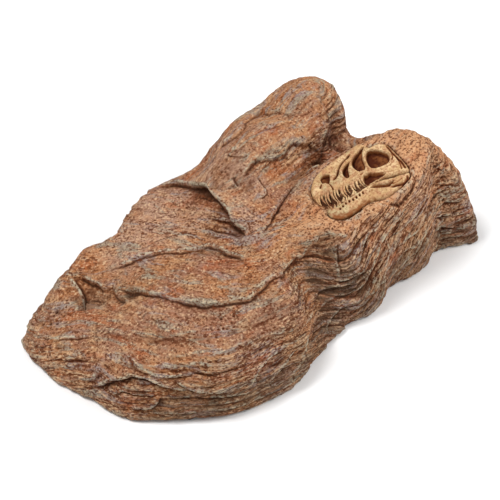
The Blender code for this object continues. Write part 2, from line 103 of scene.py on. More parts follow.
# Windows of the skull: outline, level of the floor at its left and right ends, and how dark the wash
# and painted shade are at its left and right ends, darker at the end on the shaded side.
CROWN_WINDOWS = (
    ((
        (6.0, 14), (5.7, 9), (6.4, 4.8), (9, 3.1), (13, 2.8), (16.5, 3.5), (18.6, 6),
        (19.1, 10), (17.6, 13), (15, 15.6), (11.5, 17.6), (8.6, 18.4), (7, 16.8),
    ), -1.0, -0.2, 0.95, 0.62),
    ((
        (7.5, 22.9), (5.6, 21.9), (2.6, 19.6), (0, 18), (-2.2, 15.4), (-3.3, 12), (-2.8, 8.2),
        (-1.2, 5.4), (0.6, 3.8), (2.5, 4.6), (3.5, 7), (3.8, 10.5), (3.8, 14), (4.9, 17.6),
        (6.6, 20.6),
    ), -1.3, 2.3, 1.0, 0.30),
    ((
        (-3.8, 14.7), (-6, 13.8), (-8.8, 11.8), (-10.3, 8.6), (-10, 5), (-8.8, 3), (-7.5, 3.4),
        (-7, 6), (-6.6, 9.4), (-5.2, 12.4),
    ), -1.2, 1.7, 1.0, 0.35),
    ((
        (-24.2, 9.4), (-23, 11.2), (-20.5, 11.6), (-18.2, 10.4), (-18.6, 8), (-19.4, 5.2),
        (-20.6, 3.8), (-22, 5.2), (-23.8, 5.8), (-24.0, 7.8),
    ), 0.6, -0.4, 0.60, 0.95),
    ((
        (0.3, 0.2), (0.2, -4.4), (1.4, -5.4), (6, -4.7), (11, -4.1), (13.5, -3.2), (10, -1.7),
        (7, -0.6), (4.6, 0.9), (2.6, 0.4),
    ), -1.0, 1.3, 1.0, 0.50),
)
JAW_WINDOWS = (
    ((
        (1.8, -9.4), (5, -9.3), (9, -10.5), (13, -11.3), (16.4, -10.5), (14, -12.4), (12, -14),
        (9, -13.2), (5.5, -11.9), (3, -10.6),
    ), 1.2, 1.0, 0.85, 0.45),
)

# Grooves and ridges of the skull: points, half width, rise (negative for a groove).
CROWN_LINES = (
    (((-18, 4.8), (-14, 8), (-11.4, 12.4), (-8, 16), (-4.4, 18.4), (-1.4, 21.4)), 0.65, -1.9),
    (((-12.4, 9), (-9.8, 13.4), (-6, 15.9), (-2.6, 17.6), (-0.8, 21)), 0.7, 0.8),
    (((-15.6, 8.4), (-12.8, 13.2), (-8.8, 17.3), (-5, 19.8), (-2.4, 22.4)), 0.8, 0.5),
    (((9, 23.6), (6.2, 19.4), (4.8, 14.4), (4.7, 9), (5.2, 5), (6.8, 2.4)), 0.85, 1.0),
    (((-7.4, -0.4), (-3.6, 1.6), (0.2, 3.3), (2.6, 2.2), (4.6, 0.5)), 0.7, 1.1),
    (((5.6, 2.2), (10, 1.6), (15, 2.0), (19, 4.4), (20.4, 9), (19.4, 14)), 0.7, 0.7),
    (((9.6, 19.6), (12.6, 20.0), (16, 18.8), (18.8, 16)), 1.3, 0.8),
    (((19.4, 4.6), (20.9, 7.6), (21.1, 11)), 0.4, -0.9),
    (((23, 8), (23.5, 2), (23.1, -4.6)), 0.5, -1.0),
    (((-24.2, 5.4), (-25.4, 3.8), (-26.2, 2)), 0.45, -1.1),
    (((-20.3, 4.2), (-19.4, 1.4), (-19, -2)), 0.45, -1.1),
    (((8.6, 26), (9.8, 23), (11.5, 21)), 0.8, -1.2),
    (((19.4, 20.0), (20.9, 16), (21.8, 11.5), (23.4, 6.5), (24.9, 1.5), (25.6, -5.4)), 0.85, -1.8),
    (((-30, 9), (-26, 13), (-20, 16.2), (-12, 20)), 1.6, 0.5),
    (((4.8, 0.2), (9, -1.0), (14, -2.4), (20, -3.0)), 0.5, -0.5),
    (((2, -6.2), (8, -5.6), (15, -5.9), (20, -6.6), (25.6, -6.6)), 0.5, -1.2),
)
JAW_LINES = (
    (((-21, -14.8), (-15, -12.9), (-9, -11.3), (-3, -9.3), (1, -7.8)), 0.8, 0.8),
    (((1.6, -8.5), (6, -8.6), (10, -9.6), (14, -10.4), (19, -8.7), (24, -7.9)), 0.7, 0.8),
    (((12.6, -14.6), (17, -14.1), (21, -13.9), (23.6, -11.9), (25.4, -8.6)), 0.75, -1.8),
    (((0.6, -10.4), (5, -13), (9, -14.8), (13, -16.2)), 1.2, 0.5),
    (((14, -12.6), (18, -11.8), (22, -10.2)), 0.6, -0.6),
)
# Swellings and pits of the skull: place, radius, rise.
CROWN_BUMPS = (((-22.5, 1.2), 2.5, 1.1), ((15.5, 19.4), 2.4, 0.5), ((-28.5, 4.0), 3.0, 0.6))
JAW_PITS = (((9.0, -18.0), 0.55, -0.8), ((12.4, -19.0), 0.55, -0.8))
# The small sockets along the jaw.
SOCKET_LINE = ((-19.2, -17.0), (-16.3, -15.3), (-13.4, -14.1), (-9.0, -13.4), (-3.4, -11.2))
SOCKET_COUNT = 8
SOCKET_SIZE = (0.62, 1.05)
SOCKET_DEPTH = 1.6
# Below this line the jaw turns under, and painted shade darkens it.
JAW_SHADE_X = (-27, -20, -12, -5, 0, 6, 13, 18, 22, 26)
JAW_SHADE_Y = (-17.4, -19.2, -17.4, -15.4, -16.2, -19.4, -18.6, -16.0, -13.6, -9.6)

# Teeth, as curves through their roots and through their tips, with their number, the radius at the
# root and the height of the root.
UPPER_ROOTS = ((-30.4, -2.2), (-25, -2.4), (-19, -1.7), (-12, -1.4), (-6, -0.6), (-0.6, 0.6))
UPPER_TIPS = ((-29.6, -9.0), (-25.2, -12.2), (-19.6, -10.6), (-12, -9.4), (-6, -8.0), (0.6, -6.6))
LOWER_ROOTS = ((-26.2, -17.6), (-24.2, -16.6), (-22, -15.8), (-19, -14.2), (-14, -12.2), (-8, -10.4))
LOWER_TIPS = ((-26, -11.2), (-24, -10), (-21.9, -9.8), (-18.2, -8.2), (-12.8, -6.8), (-6.8, -5.6))
UPPER_TEETH = (UPPER_ROOTS, UPPER_TIPS, 16, 0.78, 2.0)
LOWER_TEETH = (LOWER_ROOTS, LOWER_TIPS, 10, 0.74, 1.6)

# Ledges of the rock in plan, with the higher side on the left: points, rise, reach of the rise,
# drop below, reach of the drop, how dark its crease is, how bright its lip is. A deep drop also
# gets painted shade below it.
SEAMS = (
    # under the round edge of the slab
    (((-87, 30), (-84, 20), (-82, 6), (-80, -8), (-76, -22), (-71, -33), (-61, -43), (-52, -51),
      (-44, -53), (-30, -51), (-17, -46), (-4, -43), (8, -45)), 1.4, 12.0, 2.2, 7.0, 0.8, 0.1),
    (((-84, -46), (-76, -53), (-66, -59), (-54, -62), (-42, -61), (-30, -57), (-20, -50),
      (-12, -43), (-5, -36)), 0.5, 4.0, 0.6, 2.0, 0.6, 0.2),
    (((-108, -18), (-101, -30), (-93, -39), (-85, -46), (-78, -52)), 0.5, 4.0, 0.6, 2.0, 0.6, 0.3),
    # soft steps below it
    (((-96, 26), (-92, 8), (-90, -8), (-85, -24), (-78, -38), (-69, -48), (-58, -57),
      (-45, -60), (-32, -58)), 0.9, 5.0, 0.7, 4.0, 0.05, 0.15),
    (((-122, 30), (-118, 12), (-111, -4), (-104, -22), (-96, -38), (-85, -50), (-73, -58),
      (-58, -65), (-44, -67), (-32, -62)), 1.6, 7.0, 1.5, 4.0, 0.15, 0.2),
    (((-110, -38), (-98, -52), (-86, -62), (-71, -69), (-53, -73), (-37, -71)),
     1.0, 4.0, 0.9, 2.5, 0.4, 0.3),
    # the trunk's lip over the basin
    (((-12, 74), (-4, 66), (0, 56), (-1, 46), (0, 38), (-2, 31), (-6, 22), (-9.5, 13), (-11.5, 7),
      (-12.5, -1), (-14, -8), (-18, -14)), 1.6, 12.0, 4.8, 6.5, 0.5, 0.65),
    # the crease across the basin
    (((-25, -19), (-19, -13), (-17, -5), (-19.5, 3), (-22, 10), (-26, 17), (-31, 24), (-37, 28.5),
      (-46, 31.5), (-54, 34), (-60, 40), (-67, 45)), 0.7, 6.0, 0.7, 3.0, 0.7, 0.1),
    # the slab's upper edge, lower on the slab's side
    (((-79, 44), (-72, 38), (-66, 33), (-60, 29), (-54, 24), (-48, 18), (-42, 12.5), (-36, 8.5),
      (-29, 6), (-27.5, 0), (-28.5, -8), (-28.5, -18), (-30, -30)), 0.55, 9.0, 2.2, 9.0, 0.45, 0.75),
    # between trunk and shoulder
    (((-10, -18), (0, -14), (8, -10.5), (16, -6), (22, -3.5), (30, -0.5), (42, 2)),
     0.8, 5.0, 2.2, 2.4, 0.9, 0.1),
    (((-12, -13), (-8.5, -9), (-8, -4), (-9.5, 1)), 0.6, 3.0, 0.6, 1.6, 0.9, 0.3),
    # ledges along the trunk
    (((12, 21), (20, 24), (28, 24.5), (33, 22), (40, 20), (50, 18.5), (60, 18), (67, 17), (72, 13.5),
      (76, 12), (82, 14), (88, 18), (98, 19)), 0.6, 12.0, 2.2, 7.0, 0.6, 0.45),
    (((24, 52), (30, 54.5), (34, 51), (40, 50), (46, 52), (53, 57), (62, 60), (72, 62)),
     0.9, 12.0, 2.0, 7.0, 0.45, 0.3),
    (((72, 62), (69, 54), (71, 44), (74, 35), (80, 30), (90, 30), (99, 34), (106, 42)),
     0.9, 11.0, 1.9, 6.0, 0.4, 0.35),
    (((25, 50), (24.5, 43), (28, 37.5), (38, 36.5), (48, 37), (58, 34), (66, 33), (72, 29),
      (78, 24)), 0.6, 9.0, 1.1, 5.0, 0.35, 0.4),
    (((22, 40), (22, 35), (26, 30)), 0.5, 2.0, 0.6, 1.5, 0.9, 0.2),
    (((6, 18), (8, 22), (11, 25)), 0.5, 2.0, 0.7, 1.5, 0.9, 0.3),
    (((26, 23.5), (29, 24.8), (32, 24.2)), 0.4, 2.0, 0.8, 1.2, 1.0, 0.5),
    # the chipped plate on the trunk's foot
    (((11, 4), (15, 5), (20, 8), (21.5, 13), (21, 17)), 0.4, 4.0, 0.9, 1.6, 0.8, 0.6),
    # over the alcove
    (((-12, -45), (-4, -44), (4, -43), (12, -45), (20, -49), (30, -54)),
     1.6, 4.0, 2.2, 4.5, 0.4, 0.4),
    # wrinkles round the shoulder
    (((34, -53), (50, -60), (66, -63), (84, -62), (98, -57), (110, -48), (118, -36),
      (121, -22)), 1.1, 4.0, 0.8, 3.0, 0.3, 0.3),
    (((92, -66), (106, -60), (117, -50), (124, -38), (125, -24)), 1.0, 4.0, 0.9, 2.5, 0.4, 0.3),
    (((8, -36), (20, -42), (30, -48), (44, -56)), 0.7, 4.0, 0.7, 3.0, 0.2, 0.3),
    # short creases
    (((-93, -12), (-93, -20), (-91, -28)), 0.5, 2.0, 0.6, 1.5, 0.9, 0.1),
    # lips round the hollows at the low end
    (((-110, 33), (-102, 36), (-96, 41), (-93.5, 48), (-92, 57)), 0.9, 8.0, 2.8, 6.0, 0.6, 0.8),
    (((-88, 53), (-85.5, 45), (-86, 38), (-88, 32), (-84, 27)), 1.0, 7.0, 2.4, 5.0, 0.6, 0.8),
    (((-82, 29), (-86, 25), (-89, 18), (-91, 8)), 0.8, 7.0, 2.4, 6.0, 0.5, 0.8),
    (((-129, 40), (-128, 28), (-123, 16), (-118, 8)), 1.1, 3.0, 1.4, 2.0, 0.7, 0.8),
)
# Half width of a ledge's step, where it is crisp and where it is soft.
CRISP_EDGE, SOFT_EDGE = 0.40, 3.4

# Creases of the front wall and the flank, in the same form. Their points are (run, height): the run
# is measured along the direction (1, -1) in plan.
WALL_SEAMS = (
    # over, along and under the round plate low on the front
    (((-88, 11), (-82, 17), (-75, 23), (-66, 27), (-58, 28), (-52, 27), (-45, 25), (-37, 23.5),
      (-23, 22)), 0.6, 3.0, 1.5, 4.0, 0.9, 0.3),
    (((-76, 15), (-70, 19), (-63, 19.5), (-57, 19), (-51, 18.5)), 0.6, 3.0, 0.9, 2.0, 0.9, 0.2),
    (((-66, 9), (-57, 10), (-52, 12), (-50, 15), (-50, 19)), 1.0, 3.0, 1.2, 3.0, 1.0, 0.2),
    # long creases above it
    (((-41, 29), (-36, 26.5), (-31, 23.5), (-22, 21), (-12, 20)), 0.8, 3.0, 1.2, 2.5, 1.0, 0.4),
    (((-96, 9), (-88, 17), (-81, 26), (-74, 30), (-66, 31.5), (-58, 31), (-49, 30.5), (-41, 32),
      (-32, 33.5), (-19, 33), (-6, 33)), 0.7, 3.0, 0.9, 3.0, 0.45, 0.4),
    (((-52, 35), (-40, 36.5), (-28, 37), (-14, 36.5), (0, 38)), 0.6, 3.0, 0.6, 2.5, 0.35, 0.4),
    (((-112, 10), (-104, 17), (-97, 22), (-90, 25)), 0.5, 3.0, 0.6, 2.5, 0.35, 0.5),
    # rows low on the front
    (((-49, 17), (-33, 17.5), (-15, 16), (0, 15), (11, 15.5), (22, 17)), 0.6, 2.0, 0.9, 2.0, 0.8, 0.5),
    (((-38, 12), (-20, 12), (-4, 10.5), (10, 11), (24, 12)), 0.5, 2.0, 0.7, 2.0, 0.6, 0.5),
    (((-60, 6), (-40, 7), (-15, 7), (0, 6), (20, 7), (33, 6)), 0.8, 2.0, 0.9, 2.0, 0.6, 0.3),
    # the almond at the right of the front
    (((0, 19), (1.5, 24), (6, 28), (13, 30.5), (19, 32)), 0.9, 3.0, 1.4, 2.5, 1.0, 0.5),
    (((9, 17), (14, 20), (19.5, 23.5), (25, 27)), 0.7, 3.0, 1.1, 2.5, 0.9, 0.6),
    (((20, 13), (26, 16), (30, 21), (33, 27)), 0.7, 3.0, 1.0, 2.5, 0.8, 0.6),
    # in the alcove
    (((50, 31.5), (57, 33), (64, 33), (70, 30)), 0.6, 3.0, 0.9, 2.0, 0.8, 0.4),
    (((34, 27), (39, 28), (46, 28), (53, 28.5), (61, 30)), 1.0, 3.0, 1.6, 3.0, 1.0, 0.4),
    (((38, 20), (46, 22), (54, 22), (62, 23), (70, 25)), 0.6, 3.0, 0.8, 2.0, 0.5, 0.4),
    (((41, 9), (47, 12), (52, 14), (58, 15)), 0.8, 3.0, 1.2, 2.0, 0.9, 0.9),
    (((51, 34), (51.5, 40), (51, 46), (51, 53)), 0.8, 3.0, 0.8, 3.0, 0.7, 0.3),
    # ribs that sweep up the flank to the shoulder
    (((62, 36), (63, 42), (66, 48), (71, 54)), 0.9, 3.5, 0.8, 3.0, 0.5, 0.6),
    (((66, 26), (70, 32), (73.5, 37), (75.5, 42), (79, 48), (84, 53), (92, 57)),
     1.2, 4.0, 1.6, 3.0, 0.7, 0.9),
    (((77, 20), (79, 26), (81, 34), (82, 41), (87, 43.5), (92, 44.5), (98, 47), (104, 52)),
     1.2, 4.0, 1.6, 3.0, 0.9, 0.6),
    (((84, 27), (87, 32), (92, 33), (97, 35), (101, 36.5), (107, 41), (109, 48)),
     1.0, 3.0, 1.3, 2.5, 0.8, 0.5),
    (((75, 15), (81, 21), (87, 22), (93, 25), (99, 26), (105, 29), (109, 34)),
     1.0, 3.0, 1.3, 2.5, 0.9, 0.4),
    (((57, 14), (66, 16), (72, 17), (79, 14), (86, 15), (94, 18), (104, 20)),
     1.0, 3.0, 1.2, 2.5, 0.7, 0.5),
    (((78, 8), (88, 10), (98, 12), (107, 14)), 0.6, 2.0, 0.8, 2.0, 0.6, 0.4),
    # on the low lobe at the end
    (((111, 21), (118, 18.5), (126, 15), (133, 14)), 0.8, 3.0, 1.1, 2.5, 0.9, 0.4),
    (((109, 10), (118, 9), (127, 9), (135, 9)), 0.8, 3.0, 1.0, 2.0, 0.8, 0.3),
    (((112, 30), (120, 27), (127, 25), (134, 25)), 0.6, 3.0, 0.8, 2.0, 0.6, 0.5),
    (((117, 38), (123, 35), (130, 34)), 0.6, 3.0, 0.8, 2.0, 0.6, 0.5),
)
# How much deeper the wall's creases are cut than the table says, and how much darker they are.
WALL_DEPTH = 2.2
WALL_PAINT = 1.6
# The direction of the run, with a length of 1.
WALL_RUN = (math.sqrt(0.5), -math.sqrt(0.5))

# Round hollows and swellings of the rock in plan: place, radius, rise.
DENTS = (
    ((-35, 2), 4.5, -2.0), ((14, -50), 6.0, -2.0), ((2, -50), 6.0, -2.6),
    ((16, 12), 6.0, 0.9), ((-4, 18), 6.0, 0.6), ((100, -30), 10.0, 0.8), ((-13, 14), 7.0, -0.8),
    ((-60, -30), 16.0, 1.0), ((-66, 16), 12.0, 0.9), ((-108, 14), 12.0, -0.8),
    ((-98, 35), 6.0, -6.5), ((-95, 27), 4.5, -2.6), ((-90, 42), 3.0, -1.4), ((-86, 12), 4.5, -2.8),
    ((-81, 2), 2.2, -1.6),
)
# Dents deeper than this get painted shade.
SHADED_DENT = -1.7
# Bulges and flats that shape the outline: place, radius, rise. All of the outside grows a little.
BULGES = (
    ((-71, 66, 28), 10.0, 3.2), ((-22, 71, 38), 10.0, 1.6), ((-47, 68, 28), 9.0, -1.6),
    ((20, 62, 50), 10.0, -2.6), ((-107, 64, 15), 8.0, -1.6), ((-134, 46, 5), 10.0, 1.2),
    ((132, -64, 25), 14.0, 2.0), ((122, -70, 4), 14.0, 1.2), ((95, -66, 3), 16.0, 1.2),
    ((108, 56, 73), 12.0, 1.2), ((109, 27, 66), 10.0, 1.4), ((-80, -76, 6), 20.0, 1.0),
    ((-55, -79, 6), 16.0, 1.4), ((-128, -36, 5), 18.0, 0.8), ((-20, -76, 5), 12.0, -1.6),
    ((-97, 36, 27), 7.0, -2.6), ((-106, 43, 25), 6.0, 1.2), ((-85, 38, 32), 5.0, 1.6),
)
GROWTH = 0.8
# Places with deep pits, as centre and radius in plan.
PITTED = (((-117, 40), 11.0), ((-70, -52), 9.0), ((104, -56), 10.0))
# Layers of the strata: thickness, run of a bed along the rock, how far beds stand out, how round they
# are, depth of the cracks between them, and how much of it shows on level ground.
STRATA = (
    (7.5, 46.0, 1.9, 0.5, 0.7, 0.34),
    (3.4, 30.0, 0.9, 0.3, 0.45, 0.22),
    (1.7, 20.0, 0.38, 0.12, 0.22, 0.22),
)
# The floor of the valley between the trunk and the shoulder.
VALLEY = ((20, -5), (36, 0), (52, 4), (70, 9), (88, 15), (106, 21), (120, 24))
# The crack along the trunk's near side, in plan.
CRACK_X = (-20, 0, 33, 72, 104, 130)
CRACK_Y = (-20, -14, -2, 10, 19, 24)
# The line in y and z that the trunk's beds run round, and how far out they are measured.
TRUNK_LINE = (36, 34)
TRUNK_RADIUS = 34
# Ovals of the rock, as centre and radii: in plan, or in x, y and z.
SHOULDER_OVAL = ((74, -34), (74, 32))
BASIN_OVAL = ((-38, 42), (44, 30))
TRUNK_FOOT_OVAL = ((10, 28), (22, 20))
ASHEN_OVALS = (((-36, 44), (40, 30)), ((10, 28), (20, 26)), ((-8, -2), (14, 14)))
ALCOVE_OVAL = ((16, -56, 28), (26, 16, 24))
SKULL_OVAL = ((0, 0), (31, 26))


# ---------------------------------------------------------------- noise and easing


def cell_number(cells, seed):
    """A repeatable number from 0 to 1 for each whole-number cell."""
    x, y, z = (cells[:, axis].astype(np.int64).astype(np.uint32) for axis in range(3))
    mixed = x * np.uint32(374761393) + y * np.uint32(668265263) + z * np.uint32(2246822519)
    mixed = mixed + np.uint32(seed * 3266489917 % 2**32)
    mixed = (mixed ^ (mixed >> np.uint32(13))) * np.uint32(1274126177)
    mixed = (mixed ^ (mixed >> np.uint32(15))) * np.uint32(2654435761)
    return (mixed ^ (mixed >> np.uint32(16))) / 2.0**32


def noise(points, seed):
    """Smooth noise from -1 to 1 with a period of about one unit."""
    cells = np.floor(points)
    part = points - cells
    part = part * part * part * (part * (part * 6 - 15) + 10)
    total = np.zeros(len(points))
    for corner in range(8):
        step = np.array((corner & 1, corner >> 1 & 1, corner >> 2 & 1))
        share = np.prod(np.where(step, part, 1 - part), axis=1)
        total += share * cell_number(cells + step, seed)
    return 2 * total - 1


def cloud(points, size, seed, layers=3):
    """Noise in several layers, each half the size of the last."""
    total, weight, sum_weight = np.zeros(len(points)), 1.0, 0.0
    for layer in range(layers):
        total += weight * noise(points * 2**layer / size, seed + layer)
        sum_weight += weight
        weight /= 2
    return total / sum_weight


def pores(points, size, radius, seed):
    """1 in the middle of scattered pores, 0 away from them."""
    cells = np.floor(points / size)
    deepest = np.zeros(len(points))
    for number in range(27):
        near = cells + np.array((number % 3, number // 3 % 3, number // 9)) - 1
        centre = np.stack([cell_number(near, seed + axis) for axis in range(3)], axis=1)
        away = np.linalg.norm((near + centre) * size - points, axis=1)
        width = radius * (0.4 + 0.9 * cell_number(near, seed + 3))
        deepest = np.maximum(deepest, bell(away, width))
    return deepest


def smooth_step(values, low, high):
    """0 below low and 1 above high, with a smooth step between."""
    share = np.clip((values - low) / (high - low), 0, 1)
    return share * share * (3 - 2 * share)


def eased(values, low, high, width):
    """How far the values have come from low towards high, with soft bends at both."""
    return width * (
        np.logaddexp(0, (values - low) / width) - np.logaddexp(0, (values - high) / width)
    )


def bell(distance, width):
    """1 at no distance, almost 0 at twice the width."""
    return np.exp(-((distance / width) ** 2))


def faded_ends(share, part):
    """1 along a line, falling to 0 over a part of its length at each end."""
    return smooth_step(share, 0, part) * smooth_step(1 - share, 0, part)


def mounds(points, places):
    """Rise of round swellings and hollows, each a place, a radius and a rise."""
    rise = np.zeros(len(points))
    for centre, radius, height in places:
        rise += height * bell(np.linalg.norm(points - np.array(centre), axis=1), radius)
    return rise


def in_oval(points, oval, low, high, uneven=0.0):
    """1 in an oval, falling to 0 between two shares of its radii."""
    centre, radii = (np.array(part) for part in oval)
    away = np.linalg.norm((points[:, : len(centre)] - centre) / radii, axis=1)
    return 1 - smooth_step(away + uneven, low, high)


def on_plane(plan):
    """Points of a plan with a third coordinate of 0."""
    return np.column_stack([plan, np.zeros(len(plan))])


# ---------------------------------------------------------------- lines and outlines


def rounded(points, closed=False, steps=6):
    """A smooth curve through a line of points."""
    line = np.array(points, float)
    last = len(line) if closed else len(line) - 1
    curve = []
    for i in range(last):
        picks = [i - 1, i, i + 1, i + 2]
        picks = [p % len(line) if closed else min(max(p, 0), len(line) - 1) for p in picks]
        a, b, c, d = line[picks]
        for step in range(steps):
            t = step / steps
            curve.append(
                (2 * b + (c - a) * t + (2 * a - 5 * b + 4 * c - d) * t**2
                 + (3 * b - 3 * c + d - a) * t**3) / 2
            )
    if not closed:
        curve.append(line[-1])
    return np.array(curve)


def beside(points, line):
    """Distance from a line of points, positive on its left, and the share of its length passed."""
    nearest = np.full(len(points), np.inf)
    side, share = np.ones(len(points)), np.zeros(len(points))
    lengths = np.linalg.norm(np.diff(line, axis=0), axis=1)
    passed = np.concatenate([[0], np.cumsum(lengths)])
    for i, length in enumerate(lengths):
        if length == 0:
            continue
        along = (line[i + 1] - line[i]) / length
        away = points - line[i]
        run = np.clip(away @ along, 0, length)
        off = away - run[:, None] * along
        distance = np.hypot(off[:, 0], off[:, 1])
        closer = distance < nearest
        nearest = np.where(closer, distance, nearest)
        turn = along[0] * away[:, 1] - along[1] * away[:, 0]
        side = np.where(closer, np.where(turn >= 0, 1.0, -1.0), side)
        share = np.where(closer, (passed[i] + run) / passed[-1], share)
    return nearest * side, share


def within(points, outline):
    """Distance inside a closed outline, negative outside it, and the nearest point of it."""
    ends = np.roll(outline, -1, axis=0)
    nearest = np.full(len(points), np.inf)
    touch = np.zeros_like(points)
    crossings = np.zeros(len(points), int)
    for start, end in zip(outline, ends):
        along = end - start
        away = points - start
        run = np.clip(away @ along / (along @ along), 0, 1)
        place = start + run[:, None] * along
        distance = np.linalg.norm(points - place, axis=1)
        closer = distance < nearest
        nearest = np.where(closer, distance, nearest)
        touch = np.where(closer[:, None], place, touch)
        if along[1] != 0:
            spans = (start[1] > points[:, 1]) != (end[1] > points[:, 1])
            meets = start[0] + (points[:, 1] - start[1]) * along[0] / along[1]
            crossings += spans & (points[:, 0] < meets)
    return np.where(crossings % 2 == 1, nearest, -nearest), touch


# ---------------------------------------------------------------- the skull's frame


def skull_matrix():
    """Takes the skull's frame into the object's, in millimetres."""
    out = Vector((-SEAT_SLOPE[0], -SEAT_SLOPE[1], 1.0)).normalized()
    along = Vector((1.0, 0.0, SEAT_SLOPE[0])).normalized()
    across = out.cross(along)
    turned = Matrix((along, across, out)).transposed() @ Matrix.Rotation(SKULL_TURN, 3, "Z")
    x, y = SEAT_CENTRE
    z = SEAT_HEIGHT + x * SEAT_SLOPE[0] + y * SEAT_SLOPE[1]
    return Matrix.Translation(Vector((x, y, z))) @ turned.to_4x4()


SKULL = np.array(skull_matrix())
SKULL_BACK = np.linalg.inv(SKULL)


def to_object(points):
    """Points of the skull's frame in the object's."""
    return points @ SKULL[:3, :3].T + SKULL[:3, 3]


def to_skull(points):
    """Points of the object's frame in the skull's."""
    return points @ SKULL_BACK[:3, :3].T + SKULL_BACK[:3, 3]


def inside_skull_line(local, outline):
    """Distance inside an outline in the skull's plan, negative outside it."""
    return within(local[:, :2], rounded(outline, closed=True, steps=2))[0]


# ---------------------------------------------------------------- meshes


class Surface:
    """Points and edges of a mesh as arrays, in millimetres."""

    def __init__(self, mesh):
        self.points = np.empty(len(mesh.vertices) * 3, np.float32)
        mesh.vertices.foreach_get("co", self.points)
        self.points = self.points.reshape(-1, 3).astype(float) / MM
        edges = np.empty(len(mesh.edges) * 2, np.int32)
        mesh.edges.foreach_get("vertices", edges)
        self.a, self.b = edges.reshape(-1, 2).T
        size = len(self.points)
        self.degree = np.bincount(self.a, minlength=size) + np.bincount(self.b, minlength=size)
        self.mesh = mesh

    def mean(self, values):
        """For each point, the mean of its neighbours' values."""
        size = len(self.points)
        columns = values.reshape(size, -1)
        total = [
            np.bincount(self.a, weights=column[self.b], minlength=size)
            + np.bincount(self.b, weights=column[self.a], minlength=size)
            for column in columns.T
        ]
        return (np.stack(total, axis=1) / np.maximum(self.degree, 1)[:, None]).reshape(values.shape)

    def blurred(self, values, rounds):
        """The values after some rounds of mixing each point's with its neighbours'."""
        for _ in range(rounds):
            values = (values + self.mean(values)) / 2
        return values

    def normals(self):
        """Normals of the mesh at the points as they are now."""
        self.write()
        found = np.empty(len(self.points) * 3, np.float32)
        self.mesh.vertices.foreach_get("normal", found)
        return found.reshape(-1, 3).astype(float)

    def write(self):
        """Puts the points into the mesh."""
        self.mesh.vertices.foreach_set("co", (self.points * MM).astype(np.float32).ravel())
        self.mesh.update()


def new_object(name, mesh):
    """An object of a mesh, in the scene."""
    made = bpy.data.objects.new(name, mesh)
    bpy.context.scene.collection.objects.link(made)
    return made


def evaluated_mesh(holder):
    """The mesh that an object's modifiers make of it."""
    graph = bpy.context.evaluated_depsgraph_get()
    return bpy.data.meshes.new_from_object(holder.evaluated_get(graph))


def remeshed(mesh, voxel):
    """A new mesh of even small faces in the same place."""
    holder = new_object("holder", mesh)
    step = holder.modifiers.new("remesh", "REMESH")
    step.mode = "VOXEL"
    step.voxel_size = voxel
    made = evaluated_mesh(holder)
    bpy.data.objects.remove(holder)
    return made


def write_values(mesh, name, values):
    """Stores a number for each point of a mesh, for its material."""
    layer = mesh.attributes.new(name, "FLOAT", "POINT")
    layer.data.foreach_set("value", values.astype(np.float32))


def mesh_from(name, points, faces):
    """A mesh of points in millimetres and faces."""
    mesh = bpy.data.meshes.new(name)
    mesh.from_pydata([tuple(point) for point in np.asarray(points) * MM], [], faces)
    mesh.update()
    return mesh


def ring_faces(rings, sides):
    """Faces of a closed stack of rings of points, with a flat face at each end."""
    faces = []
    for ring in range(rings - 1):
        for side in range(sides):
            after = (side + 1) % sides
            low, high = ring * sides, (ring + 1) * sides
            faces.append((low + side, low + after, high + after, high + side))
    faces.append(tuple(reversed(range(sides))))
    faces.append(tuple(range((rings - 1) * sides, rings * sides)))
    return faces


# ---------------------------------------------------------------- the rock

# Face size of the dense rock, how often it is smoothed, its triangles when done, the height of its
# rim over the floor, and how strongly the thinning spares the outside.
VOXEL = 0.8
SMOOTH_ROUNDS = 44
MOST_TRIANGLES = 195000
REST_Z = 0.7
OUTSIDE_KEEP = 0.9
# How strong a round of smoothing is, and how much of it the cave gets.
SMOOTH_STRENGTH = 0.8
CAVE_SOFTNESS = 0.5
# The band outside the skull's outline where the rock goes over to the CAD shape, as distances inside.
POCKET_BAND = (-2.2, -0.6)
FAR_OUTSIDE = -50
# How far off the rock a ray starts that looks for cover.
RAY_START = 0.8
# Fine, middle and broad hollows: rounds of blurring, and the depth that counts as 1.
HOLLOW_SIZES = ((3, 0.10), (16, 0.35), (70, 1.1))
# How much those three and the grooves hold the wash, the broad ones with painted shade.
HOLLOW_WEIGHTS = (0.30, 0.30, 0.36, 0.95)


def under_cover(surface, normals, shell):
    """1 for points in the cave or on the underside, which have rock above them."""
    tree = BVHTree.FromPolygons(
        [vertex.co for vertex in shell.vertices], [face.vertices[:] for face in shell.polygons]
    )
    starts = (surface.points + RAY_START * normals) * MM
    up = Vector((0, 0, 1))
    return np.array([tree.ray_cast(Vector(start), up)[0] is not None for start in starts], float)


def beds(points, across, thickness, run, seed):
    """Beds of rock that stand out by different amounts, as rise, swell and cracks between them."""
    sheet = across / thickness + 0.9 * noise(points / (6.0 * thickness), seed)
    sheet = sheet + 0.3 * noise(points / (2.2 * thickness), seed + 2)
    number = np.floor(sheet)
    part = sheet - number
    stands = [
        noise(np.stack([7 * (number + step), points[:, 0] / run, points[:, 1] / run], axis=1), seed + 1)
        for step in (0, 1)
    ]
    share = smooth_step(part, 0.80, 0.98)
    rise = stands[0] * (1 - share) + stands[1] * share
    swell = 1 - (2 * np.clip(part / 0.9, 0, 1) - 1) ** 4
    open_share = np.clip(np.abs(stands[1] - stands[0]) * 2.0 - 0.1, 0, 1)
    open_share = open_share * smooth_step(noise(points / (2.5 * thickness + 6), seed + 3), -0.45, 0.35)
    crack = bell(part - 0.9, 0.08) * open_share
    return rise, swell, crack


